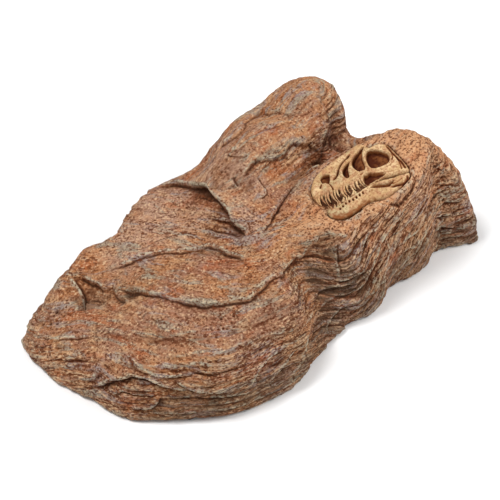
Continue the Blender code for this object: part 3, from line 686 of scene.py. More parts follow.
def bedding(points, across, steep, seed):
    """Rise of all the layers of strata, and how deep in a crack each point is."""
    rise, cracks = np.zeros(len(points)), np.zeros(len(points))
    for number, (thickness, run, amount, bulge, depth, flat) in enumerate(STRATA, 1):
        out, swell, crack = beds(points, across, thickness, run, seed + 10 * number)
        share = flat + (1 - flat) * steep
        rise += share * (amount * out + bulge * (swell - 0.6)) - steep * depth * crack
        cracks = np.maximum(cracks, (0.1 + 0.9 * steep) * crack * min(1.0, depth / 0.45))
    return rise, cracks


def seam_rise(points, seam):
    """Rise of one ledge, its crease with the shade painted below it, and how near its lip."""
    line, rise, reach, drop, drop_reach, crease, bright = seam
    curve = rounded(line)
    margin = 3 * max(reach, drop_reach)
    near = ((points > curve.min(0) - margin) & (points < curve.max(0) + margin)).all(axis=1)
    height, groove_and_ledge_shade, lip = (np.zeros(len(points)) for _ in range(3))
    flat = on_plane(points[near])
    away, share = beside(points[near], curve)
    away = away + 1.1 * noise(flat / 9, 70) + 0.35 * noise(flat / 3.2, 72)
    fade = faded_ends(share, 0.14) * (0.8 + 0.4 * noise(flat / 14, 71))
    crisp = max(crease, 0.8 * bright)
    edge = CRISP_EDGE + (SOFT_EDGE - CRISP_EDGE) * (1 - crisp) ** 2
    falling = np.exp(-np.maximum(-away, 0) / drop_reach)
    above = np.maximum(away, 0)
    high = rise * np.exp(-above / reach) * (1 - 0.5 * np.exp(-above / 1.4))
    height[near] = fade * (-drop * falling + (high + drop * falling) * smooth_step(away, -edge, edge))
    broken = noise(flat / 6.0, 73)
    narrow = crease * bell(away + 0.45, 0.55) * np.clip(0.85 + 0.6 * broken, 0, 1)
    # Painted shade below the ledge, wider and darker for a deeper drop.
    shade = 0.42 * min(2.2, max(drop - 2.4, 0.3 * drop))
    groove_and_ledge_shade[near] = fade * np.maximum(narrow, shade * falling * (away < 0))
    lip[near] = fade * bright * bell(away - 0.8, 0.55) * np.clip(0.8 + broken, 0, 1)
    return height, groove_and_ledge_shade, lip


def on_front(points, normals):
    """1 on the steep walls of the skull's side and the low end."""
    facing = -(normals[:, 0] + normals[:, 1]) * WALL_RUN[0]
    place = np.maximum(smooth_step(-points[:, 1], 24, 36), smooth_step(-points[:, 0], 88, 98))
    return place * smooth_step(facing, 0.05, 0.35)


def wall_place(points):
    """Points of a wall as run and height."""
    return np.column_stack([points[:, :2] @ np.array(WALL_RUN), points[:, 2]])


def bed_place(points):
    """Coordinates across the beds, by height and round the trunk, and where the second holds."""
    sway = 8.0 * cloud(points, 62, 11, 2) + 2.4 * cloud(points, 20, 13, 2)
    run = wall_place(points)[:, 0]
    sweep = 0.35 * eased(run, -15, 40, 8) + 0.95 * eased(run, 60, 106, 8)
    sweep = sweep * smooth_step(-points[:, 1], -4, 40)
    back = (points[:, 0] + points[:, 1]) * WALL_RUN[0] + 10
    level = points[:, 2] + sway - sweep + 0.5 * back * smooth_step(-points[:, 0], -30, 10)
    turned = np.arctan2(points[:, 1] - TRUNK_LINE[0], points[:, 2] - TRUNK_LINE[1])
    round_trunk = turned * TRUNK_RADIUS + sway
    crack_y = np.interp(points[:, 0], CRACK_X, CRACK_Y)
    on_trunk = smooth_step(points[:, 1] - crack_y, -3, 5) * smooth_step(points[:, 0], -12, 10)
    on_trunk = on_trunk * (1 - smooth_step(points[:, 0] + 6 * noise(points / 14, 98), 86, 98))
    return level, round_trunk, on_trunk


def strata(points, normals, front):
    """Rise of the strata and how deep in their cracks each point is."""
    steep = smooth_step(1 - normals[:, 2], 0.10, 0.50)
    level, round_trunk, on_trunk = bed_place(points)
    rise, groove_and_ledge_shade = bedding(points, level, steep, 20)
    trunk_rise, trunk_groove = bedding(points, round_trunk, 0.5 * steep, 30)
    rise += on_trunk * (0.6 * trunk_rise - rise)
    groove_and_ledge_shade += on_trunk * (0.3 * trunk_groove - groove_and_ledge_shade)
    flank = front * smooth_step(wall_place(points)[:, 0], 48, 66)
    flank *= 1 - in_oval(to_skull(points), SKULL_OVAL, 1.1, 1.5)
    flank *= 0.75 + 0.5 * noise(points / 24, 55)
    rise *= 1 - 0.40 * front + 0.80 * flank
    groove_and_ledge_shade *= 0.6 - 0.10 * front + 0.50 * flank
    return rise, groove_and_ledge_shade


def rock_relief(points, normals):
    """Rise of the rock's surface, its grooves and painted shade below ledges, and its lips."""
    plan, wall = points[:, :2], wall_place(points)
    front = on_front(points, normals)
    rise, groove_and_ledge_shade = strata(points, normals, front)
    lip = np.zeros(len(points))
    drawn = [(plan, seam, 1.0, 1.0, 1.0) for seam in SEAMS]
    drawn += [(wall, seam, front, WALL_DEPTH, WALL_PAINT) for seam in WALL_SEAMS]
    for place, seam, share, depth, paint in drawn:
        height, cut, edge = seam_rise(place, seam)
        rise += share * depth * height
        groove_and_ledge_shade = np.maximum(groove_and_ledge_shade, share * paint * cut)
        lip = np.maximum(lip, share * paint * edge)
    rise += mounds(plan, DENTS) + mounds(points, BULGES) + GROWTH
    rough = 0.8 + 0.4 * smooth_step(points[:, 0], 20, 60)
    rise += 1.1 * cloud(points, 26, 38, 2) + 0.60 * cloud(points, 8, 40)
    rise += rough * 0.30 * cloud(points, 2.8, 44, 2)
    pitted = 0.6 + 0.6 * noise(points / 16, 50) + 0.4 * on_shoulder(points)
    rise -= 0.6 * pitted * pores(points, 2.8, 0.75, 52)
    for centre, radius in PITTED:
        away = np.linalg.norm(plan - np.array(centre), axis=1)
        rise -= 2.2 * smooth_step(radius - away, 0, 4) * pores(points, 2.9, 1.15, 56)
    return rise, groove_and_ledge_shade, lip


def rock_surface():
    """The dense rock with its relief, and what its paint needs."""
    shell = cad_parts["rock_shell"].data
    rock = Surface(remeshed(shell.copy(), VOXEL * MM))
    covered = under_cover(rock, rock.normals(), shell)
    open_air = 1 - rock.blurred(covered, 3)
    in_skull = to_skull(rock.points)
    inside_skull = inside_skull_line(in_skull, CROWN_EDGE + POCKET_UNDER)
    inside_skull = np.where(np.abs(in_skull[:, 2]) < POCKET_REACH, inside_skull, FAR_OUTSIDE)
    beyond_skull = 1 - smooth_step(inside_skull, *POCKET_BAND)
    soft = open_air * beyond_skull + CAVE_SOFTNESS * (1 - open_air)
    before = rock.points.copy()
    for _ in range(SMOOTH_ROUNDS):
        rock.points += SMOOTH_STRENGTH * soft[:, None] * (rock.mean(rock.points) - rock.points)
    rock.points += soft[:, None] * rock.blurred(before - rock.points, SMOOTH_ROUNDS)
    normals = rock.blurred(rock.normals(), 4)
    normals /= np.linalg.norm(normals, axis=1)[:, None]
    rise, groove_and_ledge_shade, lip = rock_relief(rock.points, normals)
    cave_rise = 0.5 * cloud(rock.points, 12, 60) + 0.2 * cloud(rock.points, 3, 64, 2)
    underside = smooth_step(-normals[:, 2], 0.7, 0.95) * smooth_step(4 - rock.points[:, 2], 0, 2)
    rise += jaw_bank(in_skull, inside_skull)
    move = open_air * beyond_skull * rise + (1 - open_air) * (1 - underside) * cave_rise
    rock.points += normals * move[:, None]
    rock.points[:, 2] = np.maximum(rock.points[:, 2], REST_Z)
    fill_pocket(rock)
    return rock, open_air, groove_and_ledge_shade * open_air, lip * open_air


def jaw_bank(in_skull, inside_skull):
    """Rise of the rock along the underside of the jaw."""
    outside = -inside_skull
    band = smooth_step(outside, 0.4, 1.6) * (1 - smooth_step(outside, 3, 9))
    return 1.3 * band * bell(in_skull[:, 0] - 10, 11) * (in_skull[:, 1] < -10)


def fill_pocket(rock):
    """Raises the pocket's floor behind the teeth and along the jaw, where the rock meets them."""
    local = to_skull(rock.points)
    for area, level in ((BEHIND_TEETH, BEHIND_TEETH_LEVEL), (JAW_STRIP, STRIP_LEVEL)):
        inner = inside_skull_line(local, area)
        fill = smooth_step(inner, -0.4, 0.3) * (np.abs(local[:, 2]) < POCKET_REACH / 2)
        floor = level + 0.25 * noise(local / 2.4, 81)
        local[:, 2] += fill * np.maximum(floor - local[:, 2], 0)
    rock.points = to_object(local)


def hollows(rock):
    """How hollow the surface is at each point, positive in valleys, at three sizes."""
    normals = rock.blurred(rock.normals(), 1)
    found, blur, done = [], rock.points, 0
    for rounds, size in HOLLOW_SIZES:
        blur = rock.blurred(blur, rounds - done)
        done = rounds
        found.append(((blur - rock.points) * normals).sum(axis=1) / size)
    return found


def skull_shadow(points):
    """Painted shadow in the skull's pocket and the gap round it, darkest towards nape and jaw."""
    local = to_skull(points)
    near = np.abs(local[:, 2]) < POCKET_REACH
    inner = inside_skull_line(local, CROWN_EDGE + JAW_UNDER)
    seen_gap = 0.25 + 0.75 * smooth_step(local[:, 0] - local[:, 1], -12, 6)
    return near * (2.0 * smooth_step(inner, 0.2, 0.8) + 2.4 * seen_gap * bell(inner + 0.3, 0.9))


def paint_values(rock, open_air, groove_and_ledge_shade, lip):
    """What the paint needs to know of each point."""
    fine, middle, broad = hollows(rock)
    parts = (fine, middle, broad, groove_and_ledge_shade)
    wash_and_shade = sum(weight * part for weight, part in zip(HOLLOW_WEIGHTS, parts))
    # Painted shadow in the skull's gap, and painted shade in the valley and on the trunk's foot.
    wash_and_shade += skull_shadow(rock.points)
    wash_and_shade += 1.0 * valley_shade(rock.points) + 0.8 * trunk_foot_shade(rock.points)
    level, round_trunk, on_trunk = bed_place(rock.points)
    return {
        "wash_and_shade": np.clip(0.5 + 0.22 * wash_and_shade, 0, 1),
        "lip": np.clip(0.9 * lip + 0.45 * np.clip(-middle, 0, 1.6), 0, 1),
        "open_air": open_air,
        "tan": pale_share(rock.points),
        "low_shade": low_and_recess_shade(rock.points),
        "pored": pored_share(rock.points),
        "ashen": ashen_share(rock.points),
        "grained": 0.35 + 0.65 * steepness(rock),
        "bed": np.where(on_trunk > 0.5, round_trunk, level),
    }


def add_rock():
    """The rock, as one painted mesh with most of its triangles on the outside."""
    rock, open_air, groove_and_ledge_shade, lip = rock_surface()
    values = paint_values(rock, open_air, groove_and_ledge_shade, lip)
    rock.write()
    light = lightened(rock.mesh, open_air)
    carry_values(rock, values, light)
    light.shade_smooth()
    light.materials.clear()
    light.materials.append(rock_material())
    finish_piece(new_object("rock", light), "rock_shell")


def lightened(mesh, open_air):
    """The mesh with fewer triangles, most of them left on the outside."""
    triangles = sum(len(face.vertices) - 2 for face in mesh.polygons)
    holder = new_object("holder", mesh)
    group = holder.vertex_groups.new(name="may_go")
    levels = np.round(4 * open_air).astype(int)
    for level in range(5):
        picked = [int(i) for i in np.nonzero(levels == level)[0]]
        group.add(picked, 1.0 - OUTSIDE_KEEP * level / 4, "REPLACE")
    step = holder.modifiers.new("lighten", "DECIMATE")
    step.ratio = min(1.0, MOST_TRIANGLES / triangles)
    step.vertex_group = group.name
    step.vertex_group_factor = 1.0
    made = evaluated_mesh(holder)
    bpy.data.objects.remove(holder)
    return made


def steepness(rock):
    """0 on level ground and 1 on the walls, taken over a few millimetres."""
    return smooth_step(1 - rock.blurred(rock.normals()[:, 2], 20), 0.12, 0.45)


def on_shoulder(points):
    """1 on the shoulder round the skull."""
    return in_oval(points, SHOULDER_OVAL, 0.60, 1.30, 0.2 * noise(points / 20, 90))


def on_trunk_top(points):
    """1 on the upper part of the trunk."""
    height = points[:, 2] + 4 * noise(points / 18, 91)
    return smooth_step(height, 46, 58) * smooth_step(points[:, 1], 0, 9)


def pale_share(points):
    """How pale the paint is: most on the shoulder, less on the trunk and in the basin."""
    basin = in_oval(points, BASIN_OVAL, 0.6, 1.2)
    return np.maximum(np.maximum(on_shoulder(points), 0.20 * on_trunk_top(points)), 0.35 * basin)


def ashen_share(points):
    """1 in the basin and round the trunk's foot, where a pale rose grey lies over the orange."""
    uneven = 0.2 * noise(points / 12, 97)
    return np.max([in_oval(points, oval, 0.5, 1.2, uneven) for oval in ASHEN_OVALS], axis=0)


def trunk_foot_shade(points):
    """1 on the foot of the trunk, where shade is painted."""
    return in_oval(points, TRUNK_FOOT_OVAL, 0.5, 1.2, 0.2 * noise(points / 12, 99))


def pored_share(points):
    """How thickly the pores lie: close round the skull, few on the trunk."""
    share = 0.86 + 0.20 * on_shoulder(points) - 0.66 * on_trunk_top(points)
    return np.clip(share + 0.45 * noise(points / 15, 94), 0.05, 1)


def valley_shade(points):
    """Painted shade in the deep valley between trunk and shoulder, mostly on the trunk's side."""
    away, share = beside(points[:, :2], rounded(VALLEY))
    return bell(away - 3.0, 5.5) * smooth_step(share, 0.05, 0.45) * (0.85 + 0.4 * noise(points / 7, 96))


def low_and_recess_shade(points):
    """1 low on the front, in the alcove and in the deep dents, where shade is painted."""
    run = wall_place(points)[:, 0]
    low = smooth_step(27 + 5 * noise(points / 15, 92) - points[:, 2], 0, 12)
    low *= smooth_step(run, -75, -45) * smooth_step(-points[:, 1], 20, 40)
    low_shade = np.maximum(0.8 * low, in_oval(points, ALCOVE_OVAL, 0.5, 1.1))
    for centre, radius, height in DENTS:
        if height < SHADED_DENT:
            away = np.linalg.norm(points[:, :2] - np.array(centre), axis=1)
            low_shade = np.maximum(low_shade, bell(away, 1.2 * radius))
    return low_shade


def carry_values(rock, values, mesh):
    """Gives each point of the lighter mesh the values of the nearest dense point."""
    tree = KDTree(len(rock.points))
    for number, point in enumerate(rock.points * MM):
        tree.insert(point, number)
    tree.balance()
    nearest = np.array([tree.find(vertex.co)[1] for vertex in mesh.vertices])
    for name, column in values.items():
        write_values(mesh, name, column[nearest])


def finish_piece(piece, node):
    """Puts a piece in the place of its CAD node."""
    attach(piece, "root")
    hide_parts(node)


# ---------------------------------------------------------------- the skull

# Spacing of the skull's points, and the width over which its edges round over.
SKULL_STEP = 0.32
BONE_EDGE = 2.6
# Rise of the rim round a window.
WINDOW_RIM = 0.35
# A tooth: points round it and rings along it, how far it bows for its length, how far its tip dips,
# and how much it narrows.
TOOTH_SIDES, TOOTH_RINGS = 9, 8
TOOTH_BOW = 0.10
TOOTH_DIP = 0.9
TOOTH_TAPER = 0.8


def line_rise(plan, lines):
    """Rise of all the grooves and ridges."""
    rise = np.zeros(len(plan))
    for line, half_width, height in lines:
        away, share = beside(plan, rounded(line))
        rise += height * faded_ends(share, 0.15) * bell(away, half_width)
    return rise


def cut_windows(plan, height, windows):
    """Sinks each window to its floor and raises a rim round it."""
    for outline, left, right, _, _ in windows:
        inner, share = window_place(plan, outline)
        floor = left + (right - left) * share
        sunk = smooth_step(inner, -0.25, 0.40)
        height = height + WINDOW_RIM * bell(inner + 0.8, 0.6)
        height = height * (1 - sunk) + np.minimum(floor, height) * sunk
    return height


def window_place(plan, outline):
    """Distance inside a window and the share of its width passed."""
    corners = np.array(outline, float)
    inner, _ = within(plan, rounded(outline, closed=True, steps=4))
    share = (plan[:, 0] - corners[:, 0].min()) / np.ptp(corners[:, 0])
    return inner, np.clip(share, 0, 1)


def window_wash_and_shade(plan, windows):
    """How dark the wash and painted shade in the windows are."""
    stain_and_shade = np.zeros(len(plan))
    for outline, _, _, left, right in windows:
        inner, share = window_place(plan, outline)
        stain_and_shade = np.maximum(stain_and_shade, smooth_step(inner, -0.22, 0.25) * (left + (right - left) * share))
    return stain_and_shade


def socket_depth(plan):
    """1 in the small sockets along the jaw."""
    deep = np.zeros(len(plan))
    for x, y in spaced(SOCKET_LINE, SOCKET_COUNT):
        away = np.hypot((plan[:, 0] - x) / SOCKET_SIZE[0], (plan[:, 1] - y) / SOCKET_SIZE[1])
        deep = np.maximum(deep, np.exp(-(away**4)))
    return deep


def jaw_turn(plan):
    """How far below the line where the jaw turns under, in millimetres."""
    return np.maximum(np.interp(plan[:, 0], JAW_SHADE_X, JAW_SHADE_Y) - plan[:, 1], 0)


def plate_height(inner, body):
    """Height of a plate whose edge is rounded over."""
    edge = np.clip(inner / BONE_EDGE, 0, 1)
    return body * np.sqrt(1 - (1 - edge) ** 2)


def crown_height(plan, inner):
    """Height of the cranium over its plane."""
    body = 2.7 + 0.7 * smooth_step(plan[:, 0], -28, 0) - 0.4 * smooth_step(plan[:, 0], 8, 26)
    carved = line_rise(plan, CROWN_LINES) + mounds(plan, CROWN_BUMPS)
    height = plate_height(inner, body) + carved * smooth_step(inner, 0, 1.0)
    return cut_windows(plan, height, CROWN_WINDOWS)


def jaw_height(plan, inner):
    """Height of the lower jaw over its plane."""
    body = 2.3 + 0.5 * smooth_step(plan[:, 0], -20, 10)
    height = plate_height(inner, body) + line_rise(plan, JAW_LINES) * smooth_step(inner, 0, 1.0)
    height -= SOCKET_DEPTH * socket_depth(plan)
    height -= 0.42 * jaw_turn(plan) * smooth_step(inner, 0, 2.5)
    return cut_windows(plan, height + mounds(plan, JAW_PITS), JAW_WINDOWS)


def spaced(line, count):
    """Points at even steps along a smooth line."""
    curve = rounded(line)
    passed = np.concatenate([[0], np.cumsum(np.linalg.norm(np.diff(curve, axis=0), axis=1))])
    steps = np.linspace(0, passed[-1], count)
    return np.column_stack([np.interp(steps, passed, curve[:, axis]) for axis in (0, 1)])


def relief(outline, height_of, seed):
    """Points and faces of a plate with a carved top, in the skull's frame."""
    edge = rounded(outline, closed=True, steps=3)
    low, high = edge.min(0) - 2 * SKULL_STEP, edge.max(0) + 2 * SKULL_STEP
    xs = np.arange(low[0], high[0], SKULL_STEP)
    ys = np.arange(low[1], high[1], SKULL_STEP)
    plan = np.stack(np.meshgrid(xs, ys, indexing="ij"), axis=-1).reshape(-1, 2)
    inner, touch = within(plan, edge)
    count = len(ys)
    corner = np.arange(len(plan)).reshape(len(xs), count)
    cells = np.stack(
        [corner[:-1, :-1], corner[1:, :-1], corner[1:, 1:], corner[:-1, 1:]], axis=-1
    ).reshape(-1, 4)
    cells = cells[(inner[cells] > 0).any(axis=1)]
    used, cells = np.unique(cells, return_inverse=True)
    cells = cells.reshape(-1, 4)
    plan, inner, touch = plan[used], inner[used], touch[used]
    outer = inner <= 0
    plan = np.where(outer[:, None], touch, plan)
    inner = np.maximum(inner, 0)
    height = height_of(plan, inner)
    place = on_plane(plan)
    height += 0.20 * cloud(place, 2.6, seed, 3) + 0.07 * noise(place / 0.8, seed + 5)
    height -= 0.30 * pores(place, 2.2, 0.50, seed + 7)
    height = np.where(outer, PLATE_BOTTOM, height)
    points = np.column_stack([plan, height])
    return points, [tuple(int(i) for i in cell) for cell in cells]


def tooth(root, tip, radius, lift):
    """Points and faces of one curved tooth that tapers from its root."""
    run = np.array((*(tip - root), 0.0))
    length = np.linalg.norm(run)
    along = run / length
    across = np.array((-along[1], along[0], 0.0))
    points = []
    for ring in range(TOOTH_RINGS):
        share = ring / (TOOTH_RINGS - 1)
        bow = TOOTH_BOW * length * math.sin(math.pi * share)
        centre = np.array((*root, lift)) + along * length * share - across * bow
        centre[2] -= TOOTH_DIP * share**2
        width = radius * (1 - TOOTH_TAPER * share**1.6) + 0.02
        for side in range(TOOTH_SIDES):
            turn = 2 * math.pi * side / TOOTH_SIDES
            up = np.array((0, 0, 1.1 * width * math.sin(turn)))
            points.append(centre + across * math.cos(turn) * width + up)
    return points, ring_faces(TOOTH_RINGS, TOOTH_SIDES)


def row_of_teeth(roots, tips, count, radius, lift):
    """Root, tip, radius and lift of each tooth of a row, no two quite alike."""
    rows = []
    for number, (root, tip) in enumerate(zip(spaced(roots, count), spaced(tips, count))):
        vary, lean = math.sin(2.4 * number + 0.7), math.sin(4.1 * number + 0.4)
        tip = root + (tip - root) * (0.90 + 0.17 * vary) + np.array((0.8 * lean, 0))
        root = root + np.array((0.35 * vary, 0.5 * lean))
        rows.append((root, tip, radius * (1 + 0.3 * math.sin(1.7 * number)), lift))
    return rows


def add_bone(name, node, outline, height_of, wash_and_shade_of, teeth, seed):
    """One detailed plate of the skull with its teeth."""
    points, faces = relief(outline, height_of, seed)
    points, plate_count = list(points), len(points)
    for row in teeth:
        more, more_faces = tooth(*row)
        faces += [tuple(i + len(points) for i in face) for face in more_faces]
        points += more
    local = np.array(points)
    mesh = mesh_from(name, to_object(local), faces)
    close_underside(mesh)
    is_tooth = np.arange(len(local)) >= plate_count
    snout = smooth_step(-local[:, 0], 11, 24)
    # Wash and painted shade from the bone's hollows and depth, its windows and its underside.
    wash_and_shade = bone_wash_and_shade(Surface(mesh), local[:, 2])
    wash_and_shade = np.maximum(wash_and_shade, wash_and_shade_of(local[:, :2])) * (1 - 0.75 * is_tooth)
    write_values(mesh, "wash_and_shade", np.clip(wash_and_shade + 0.24 * is_tooth * snout, 0, 1))
    write_values(mesh, "snout", snout)
    mesh.shade_smooth()
    mesh.materials.append(bone_material(name))
    finish_piece(new_object(name, mesh), node)


def bone_wash_and_shade(shape, height):
    """Wash and painted shade from how hollow and how deep the bone is at each point."""
    normals = shape.normals()
    cupped = ((shape.blurred(shape.points, 4) - shape.points) * normals).sum(axis=1) / 0.12
    wide = ((shape.blurred(shape.points, 24) - shape.points) * normals).sum(axis=1) / 0.5
    # Deeper parts get painted shade.
    depth = smooth_step(1.3 - height, 0, 2.2)
    return np.clip(0.28 * cupped + 0.36 * wide, -0.6, 1) + 0.75 * depth


def close_underside(mesh):
    """Fills the open bottom edge of a plate."""
    shape = bmesh.new()
    shape.from_mesh(mesh)
    edges = [edge for edge in shape.edges if edge.is_boundary]
    bmesh.ops.contextual_create(shape, geom=edges)
    bmesh.ops.recalc_face_normals(shape, faces=shape.faces)
    shape.to_mesh(mesh)
    shape.free()
    mesh.update()


def line_stain(plan, lines):
    """How dark the wash in the grooves is."""
    stain_and_shade = np.zeros(len(plan))
    for line, half_width, height in lines:
        if height < 0:
            away, share = beside(plan, rounded(line))
            depth = min(1.0, -height / 1.2)
            stain_and_shade = np.maximum(stain_and_shade, depth * faded_ends(share, 0.12) * bell(away, 0.9 * half_width))
    return stain_and_shade


def crown_wash_and_shade(plan):
    """How dark the wash and painted shade on the cranium are."""
    return np.maximum(window_wash_and_shade(plan, CROWN_WINDOWS), line_stain(plan, CROWN_LINES))


def jaw_wash_and_shade(plan):
    """How dark the wash on the jaw is, with painted shade where it turns under."""
    turned = jaw_turn(plan) + 1.2 * noise(on_plane(plan) / 2.0, 95)
    carved = np.maximum(window_wash_and_shade(plan, JAW_WINDOWS), line_stain(plan, JAW_LINES))
    return np.maximum(np.maximum(carved, socket_depth(plan)), 0.46 * smooth_step(turned, -0.5, 4.0))


def add_skull():
    """The cranium and the lower jaw with their teeth."""
    upper, lower = row_of_teeth(*UPPER_TEETH), row_of_teeth(*LOWER_TEETH)
    crown, jaw = CROWN_EDGE + CROWN_UNDER, JAW_TOP + JAW_UNDER
    add_bone("cranium", "skull_cranium", crown, crown_height, crown_wash_and_shade, upper, 101)
    add_bone("lower_jaw", "skull_lower_jaw", jaw, jaw_height, jaw_wash_and_shade, lower, 131)


# ---------------------------------------------------------------- feet

FOOT_SIDES = 48
# Edges of a foot that bend more than this are sharp.
FOOT_SHARP = math.radians(40)
# Shares of the radius and of the height, from the dish under the foot to its top.
FOOT_PROFILE = ((0.62, 0.10), (0.70, 0.0), (0.88, 0.0), (0.97, 0.08), (1.0, 0.22), (1.0, 1.0))


def add_foot(number):
    """A moulded rubber foot with a dished underside."""
    node = f"foot_pad_{number}"
    low, high = (np.array(corner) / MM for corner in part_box(node))
    centre, radius, height = (low + high) / 2, (high[0] - low[0]) / 2, high[2] - low[2]
    points = []
    for share, level in FOOT_PROFILE:
        for side in range(FOOT_SIDES):
            turn = 2 * math.pi * side / FOOT_SIDES
            x = centre[0] + radius * share * math.cos(turn)
            y = centre[1] + radius * share * math.sin(turn)
            points.append((x, y, low[2] + height * level))
    mesh = mesh_from(node, points, ring_faces(len(FOOT_PROFILE), FOOT_SIDES))
    mesh.shade_smooth()
    mesh.set_sharp_from_angle(angle=FOOT_SHARP)
    mesh.materials.append(rubber_material())
    finish_piece(new_object(f"foot_{number}", mesh), node)


# ---------------------------------------------------------------- materials


class Nodes:
    """Short calls that add nodes to a material's tree."""

    def __init__(self, name):
        self.material = bpy.data.materials.new(name)
        self.material.use_nodes = True
        self.tree = self.material.node_tree
        self.shader = self.tree.nodes["Principled BSDF"]
        self.place = self.add("ShaderNodeTexCoord").outputs["Object"]

    def add(self, kind, **settings):
        node = self.tree.nodes.new(kind)
        for key, value in settings.items():
            setattr(node, key, value)
        return node

    def join(self, source, target):
        """Links a node's output to a socket, or sets the socket to a constant."""
        if hasattr(source, "is_output"):
            self.tree.links.new(source, target)
        else:
            target.default_value = source

    def values(self, name):
        """The numbers stored for the mesh's points under a name."""
        return self.add("ShaderNodeAttribute", attribute_name=name).outputs["Fac"]

    def along_beds(self, across, along):
        """Coordinates that run across the beds and, more slowly, along them."""
        parts = self.add("ShaderNodeSeparateXYZ")
        self.join(self.place, parts.inputs[0])
        joined = self.add("ShaderNodeCombineXYZ")
        self.join(self.times(self.values("bed"), across), joined.inputs[0])
        self.join(self.times(parts.outputs[0], along), joined.inputs[1])
        self.join(self.times(parts.outputs[1], along), joined.inputs[2])
        return joined.outputs[0]

    def noise(self, scale, detail=3.0, roughness=0.55, warp=0.0, place=None):
        """Noise from 0 to 1; a larger scale makes it finer."""
        node = self.add("ShaderNodeTexNoise")
        self.join(place or self.place, node.inputs["Vector"])
        settings = {"Scale": scale, "Detail": detail, "Roughness": roughness, "Distortion": warp}
        for name, value in settings.items():
            node.inputs[name].default_value = value
        return node.outputs["Fac"]

    def cells(self, scale, place=None):
        """Distance to the nearest of scattered points."""
        node = self.add("ShaderNodeTexVoronoi")
        self.join(place or self.place, node.inputs["Vector"])
        node.inputs["Scale"].default_value = scale
        return node.outputs["Distance"]

    def math(self, operation, first, second=0.0):
        node = self.add("ShaderNodeMath", operation=operation)
        self.join(first, node.inputs[0])
        self.join(second, node.inputs[1])
        return node.outputs[0]

    def times(self, first, second):
        return self.math("MULTIPLY", first, second)

    def plus(self, first, second):
        return self.math("ADD", first, second)

    def minus(self, first, second):
        return self.math("SUBTRACT", first, second)

    def ramp(self, value, low, high, start=0.0, end=1.0):
        """Start to end as value goes from low to high, smoothly."""
        node = self.add("ShaderNodeMapRange", interpolation_type="SMOOTHSTEP")
        self.join(value, node.inputs["Value"])
        settings = {"From Min": low, "From Max": high, "To Min": start, "To Max": end}
        for name, number in settings.items():
            node.inputs[name].default_value = number
        return node.outputs["Result"]

    def mix(self, share, first, second):
        """The first colour, and the second over it by a share."""
        node = self.add("ShaderNodeMix", data_type="RGBA")
        self.join(share, node.inputs[0])
        for source, target in ((first, node.inputs[6]), (second, node.inputs[7])):
            self.join(source if hasattr(source, "is_output") else (*source, 1.0), target)
        return node.outputs[2]

    def coat(self, colour, paint, value, low, high, most=1.0):
        """The paint over a colour, thicker as a value goes from low to high."""
        return self.mix(self.ramp(value, low, high, 0, most), colour, paint)

    def bump(self, height, strength, distance, before=None):
        node = self.add("ShaderNodeBump")
        self.join(height, node.inputs["Height"])
        node.inputs["Strength"].default_value = strength
        node.inputs["Distance"].default_value = distance
        if before is not None:
            self.join(before, node.inputs["Normal"])
        return node.outputs["Normal"]

    def set(self, name, value):
        self.join(value, self.shader.inputs[name])


# Paints of the rock, with the bare resin of its inside last.
ORANGE = (0.35, 0.142, 0.056)
ROSE = (0.28, 0.128, 0.074)
SAND = (0.42, 0.225, 0.110)
ASH = (0.38, 0.225, 0.155)
SHOULDER = (0.60, 0.305, 0.150)
CRUMB = (0.66, 0.440, 0.260)
GREY = (0.26, 0.240, 0.180)
LILAC = (0.25, 0.210, 0.200)
CREST = (0.50, 0.43, 0.31)
RUST = (0.33, 0.075, 0.018)
# The red and dark washes also paint the shade in hollows, creases and gaps.
RED_WASH_AND_SHADE = (0.082, 0.018, 0.004)
PORE = (0.125, 0.034, 0.012)
DARK_WASH_AND_SHADE = (0.030, 0.008, 0.002)
# Painted shade low on the front, in the alcove and in deep dents.
LOW_SHADE_BROWN = (0.075, 0.043, 0.024)
RESIN = (0.23, 0.125, 0.075)


def base_paint(n):
    """Orange, rose and sand in patches, the pale shoulder, rose grey over the basin, and rust."""
    ashen = n.values("ashen")
    colour = n.mix(n.ramp(n.noise(24, 4), 0.40, 0.60), ORANGE, ROSE)
    colour = n.coat(colour, SAND, n.noise(70, 5, 0.65), 0.46, 0.66, 0.8)
    colour = n.mix(n.times(n.values("tan"), 0.75), colour, SHOULDER)
    colour = n.mix(n.times(ashen, n.ramp(n.noise(95, 4, 0.6), 0.36, 0.58, 0.25, 0.8)), colour, ASH)
    warm = n.noise(1.0, 4, 0.6, 0.5, n.along_beds(0.13, 34))
    return n.coat(colour, RUST, n.minus(warm, n.times(ashen, 0.05)), 0.52, 0.66, 0.55)


def bed_lines(n, colour, veins):
    """Pale and dark lines along the beds, and the veins."""
    lines, grained = n.noise(1.0, 3, 0.6, 0.5, n.along_beds(0.50, 42)), n.values("grained")
    colour = n.mix(n.times(n.ramp(lines, 0.54, 0.68, 0, 0.7), grained), colour, CRUMB)
    colour = n.mix(n.times(n.ramp(lines, 0.46, 0.35), grained), colour, RED_WASH_AND_SHADE)
    return n.mix(veins, colour, RED_WASH_AND_SHADE)


def dry_brush(n, colour, grain):
    """Grey and lilac brushed over patches and edges, palest on the sharpest edges."""
    streak = n.noise(1.0, 4, 0.65, 0.6, n.along_beds(0.22, 38))
    patch = n.times(n.ramp(streak, 0.51, 0.63), 0.72)
    edge = n.times(n.values("lip"), n.ramp(n.noise(230, 4, 0.65), 0.30, 0.55))
    brushed = n.plus(n.times(edge, 0.9), patch)
    brushed = n.times(brushed, n.ramp(n.values("tan"), 0.5, 0.9, 1, 0.3))
    brushed = n.math("MINIMUM", brushed, 0.85)
    brushed = n.times(brushed, n.ramp(grain, 0.30, 0.55, 0.35, 1.0))
    grey = n.mix(n.ramp(n.noise(40, 3), 0.42, 0.58), GREY, LILAC)
    return n.coat(n.mix(brushed, colour, grey), CREST, edge, 0.35, 0.9, 0.75)


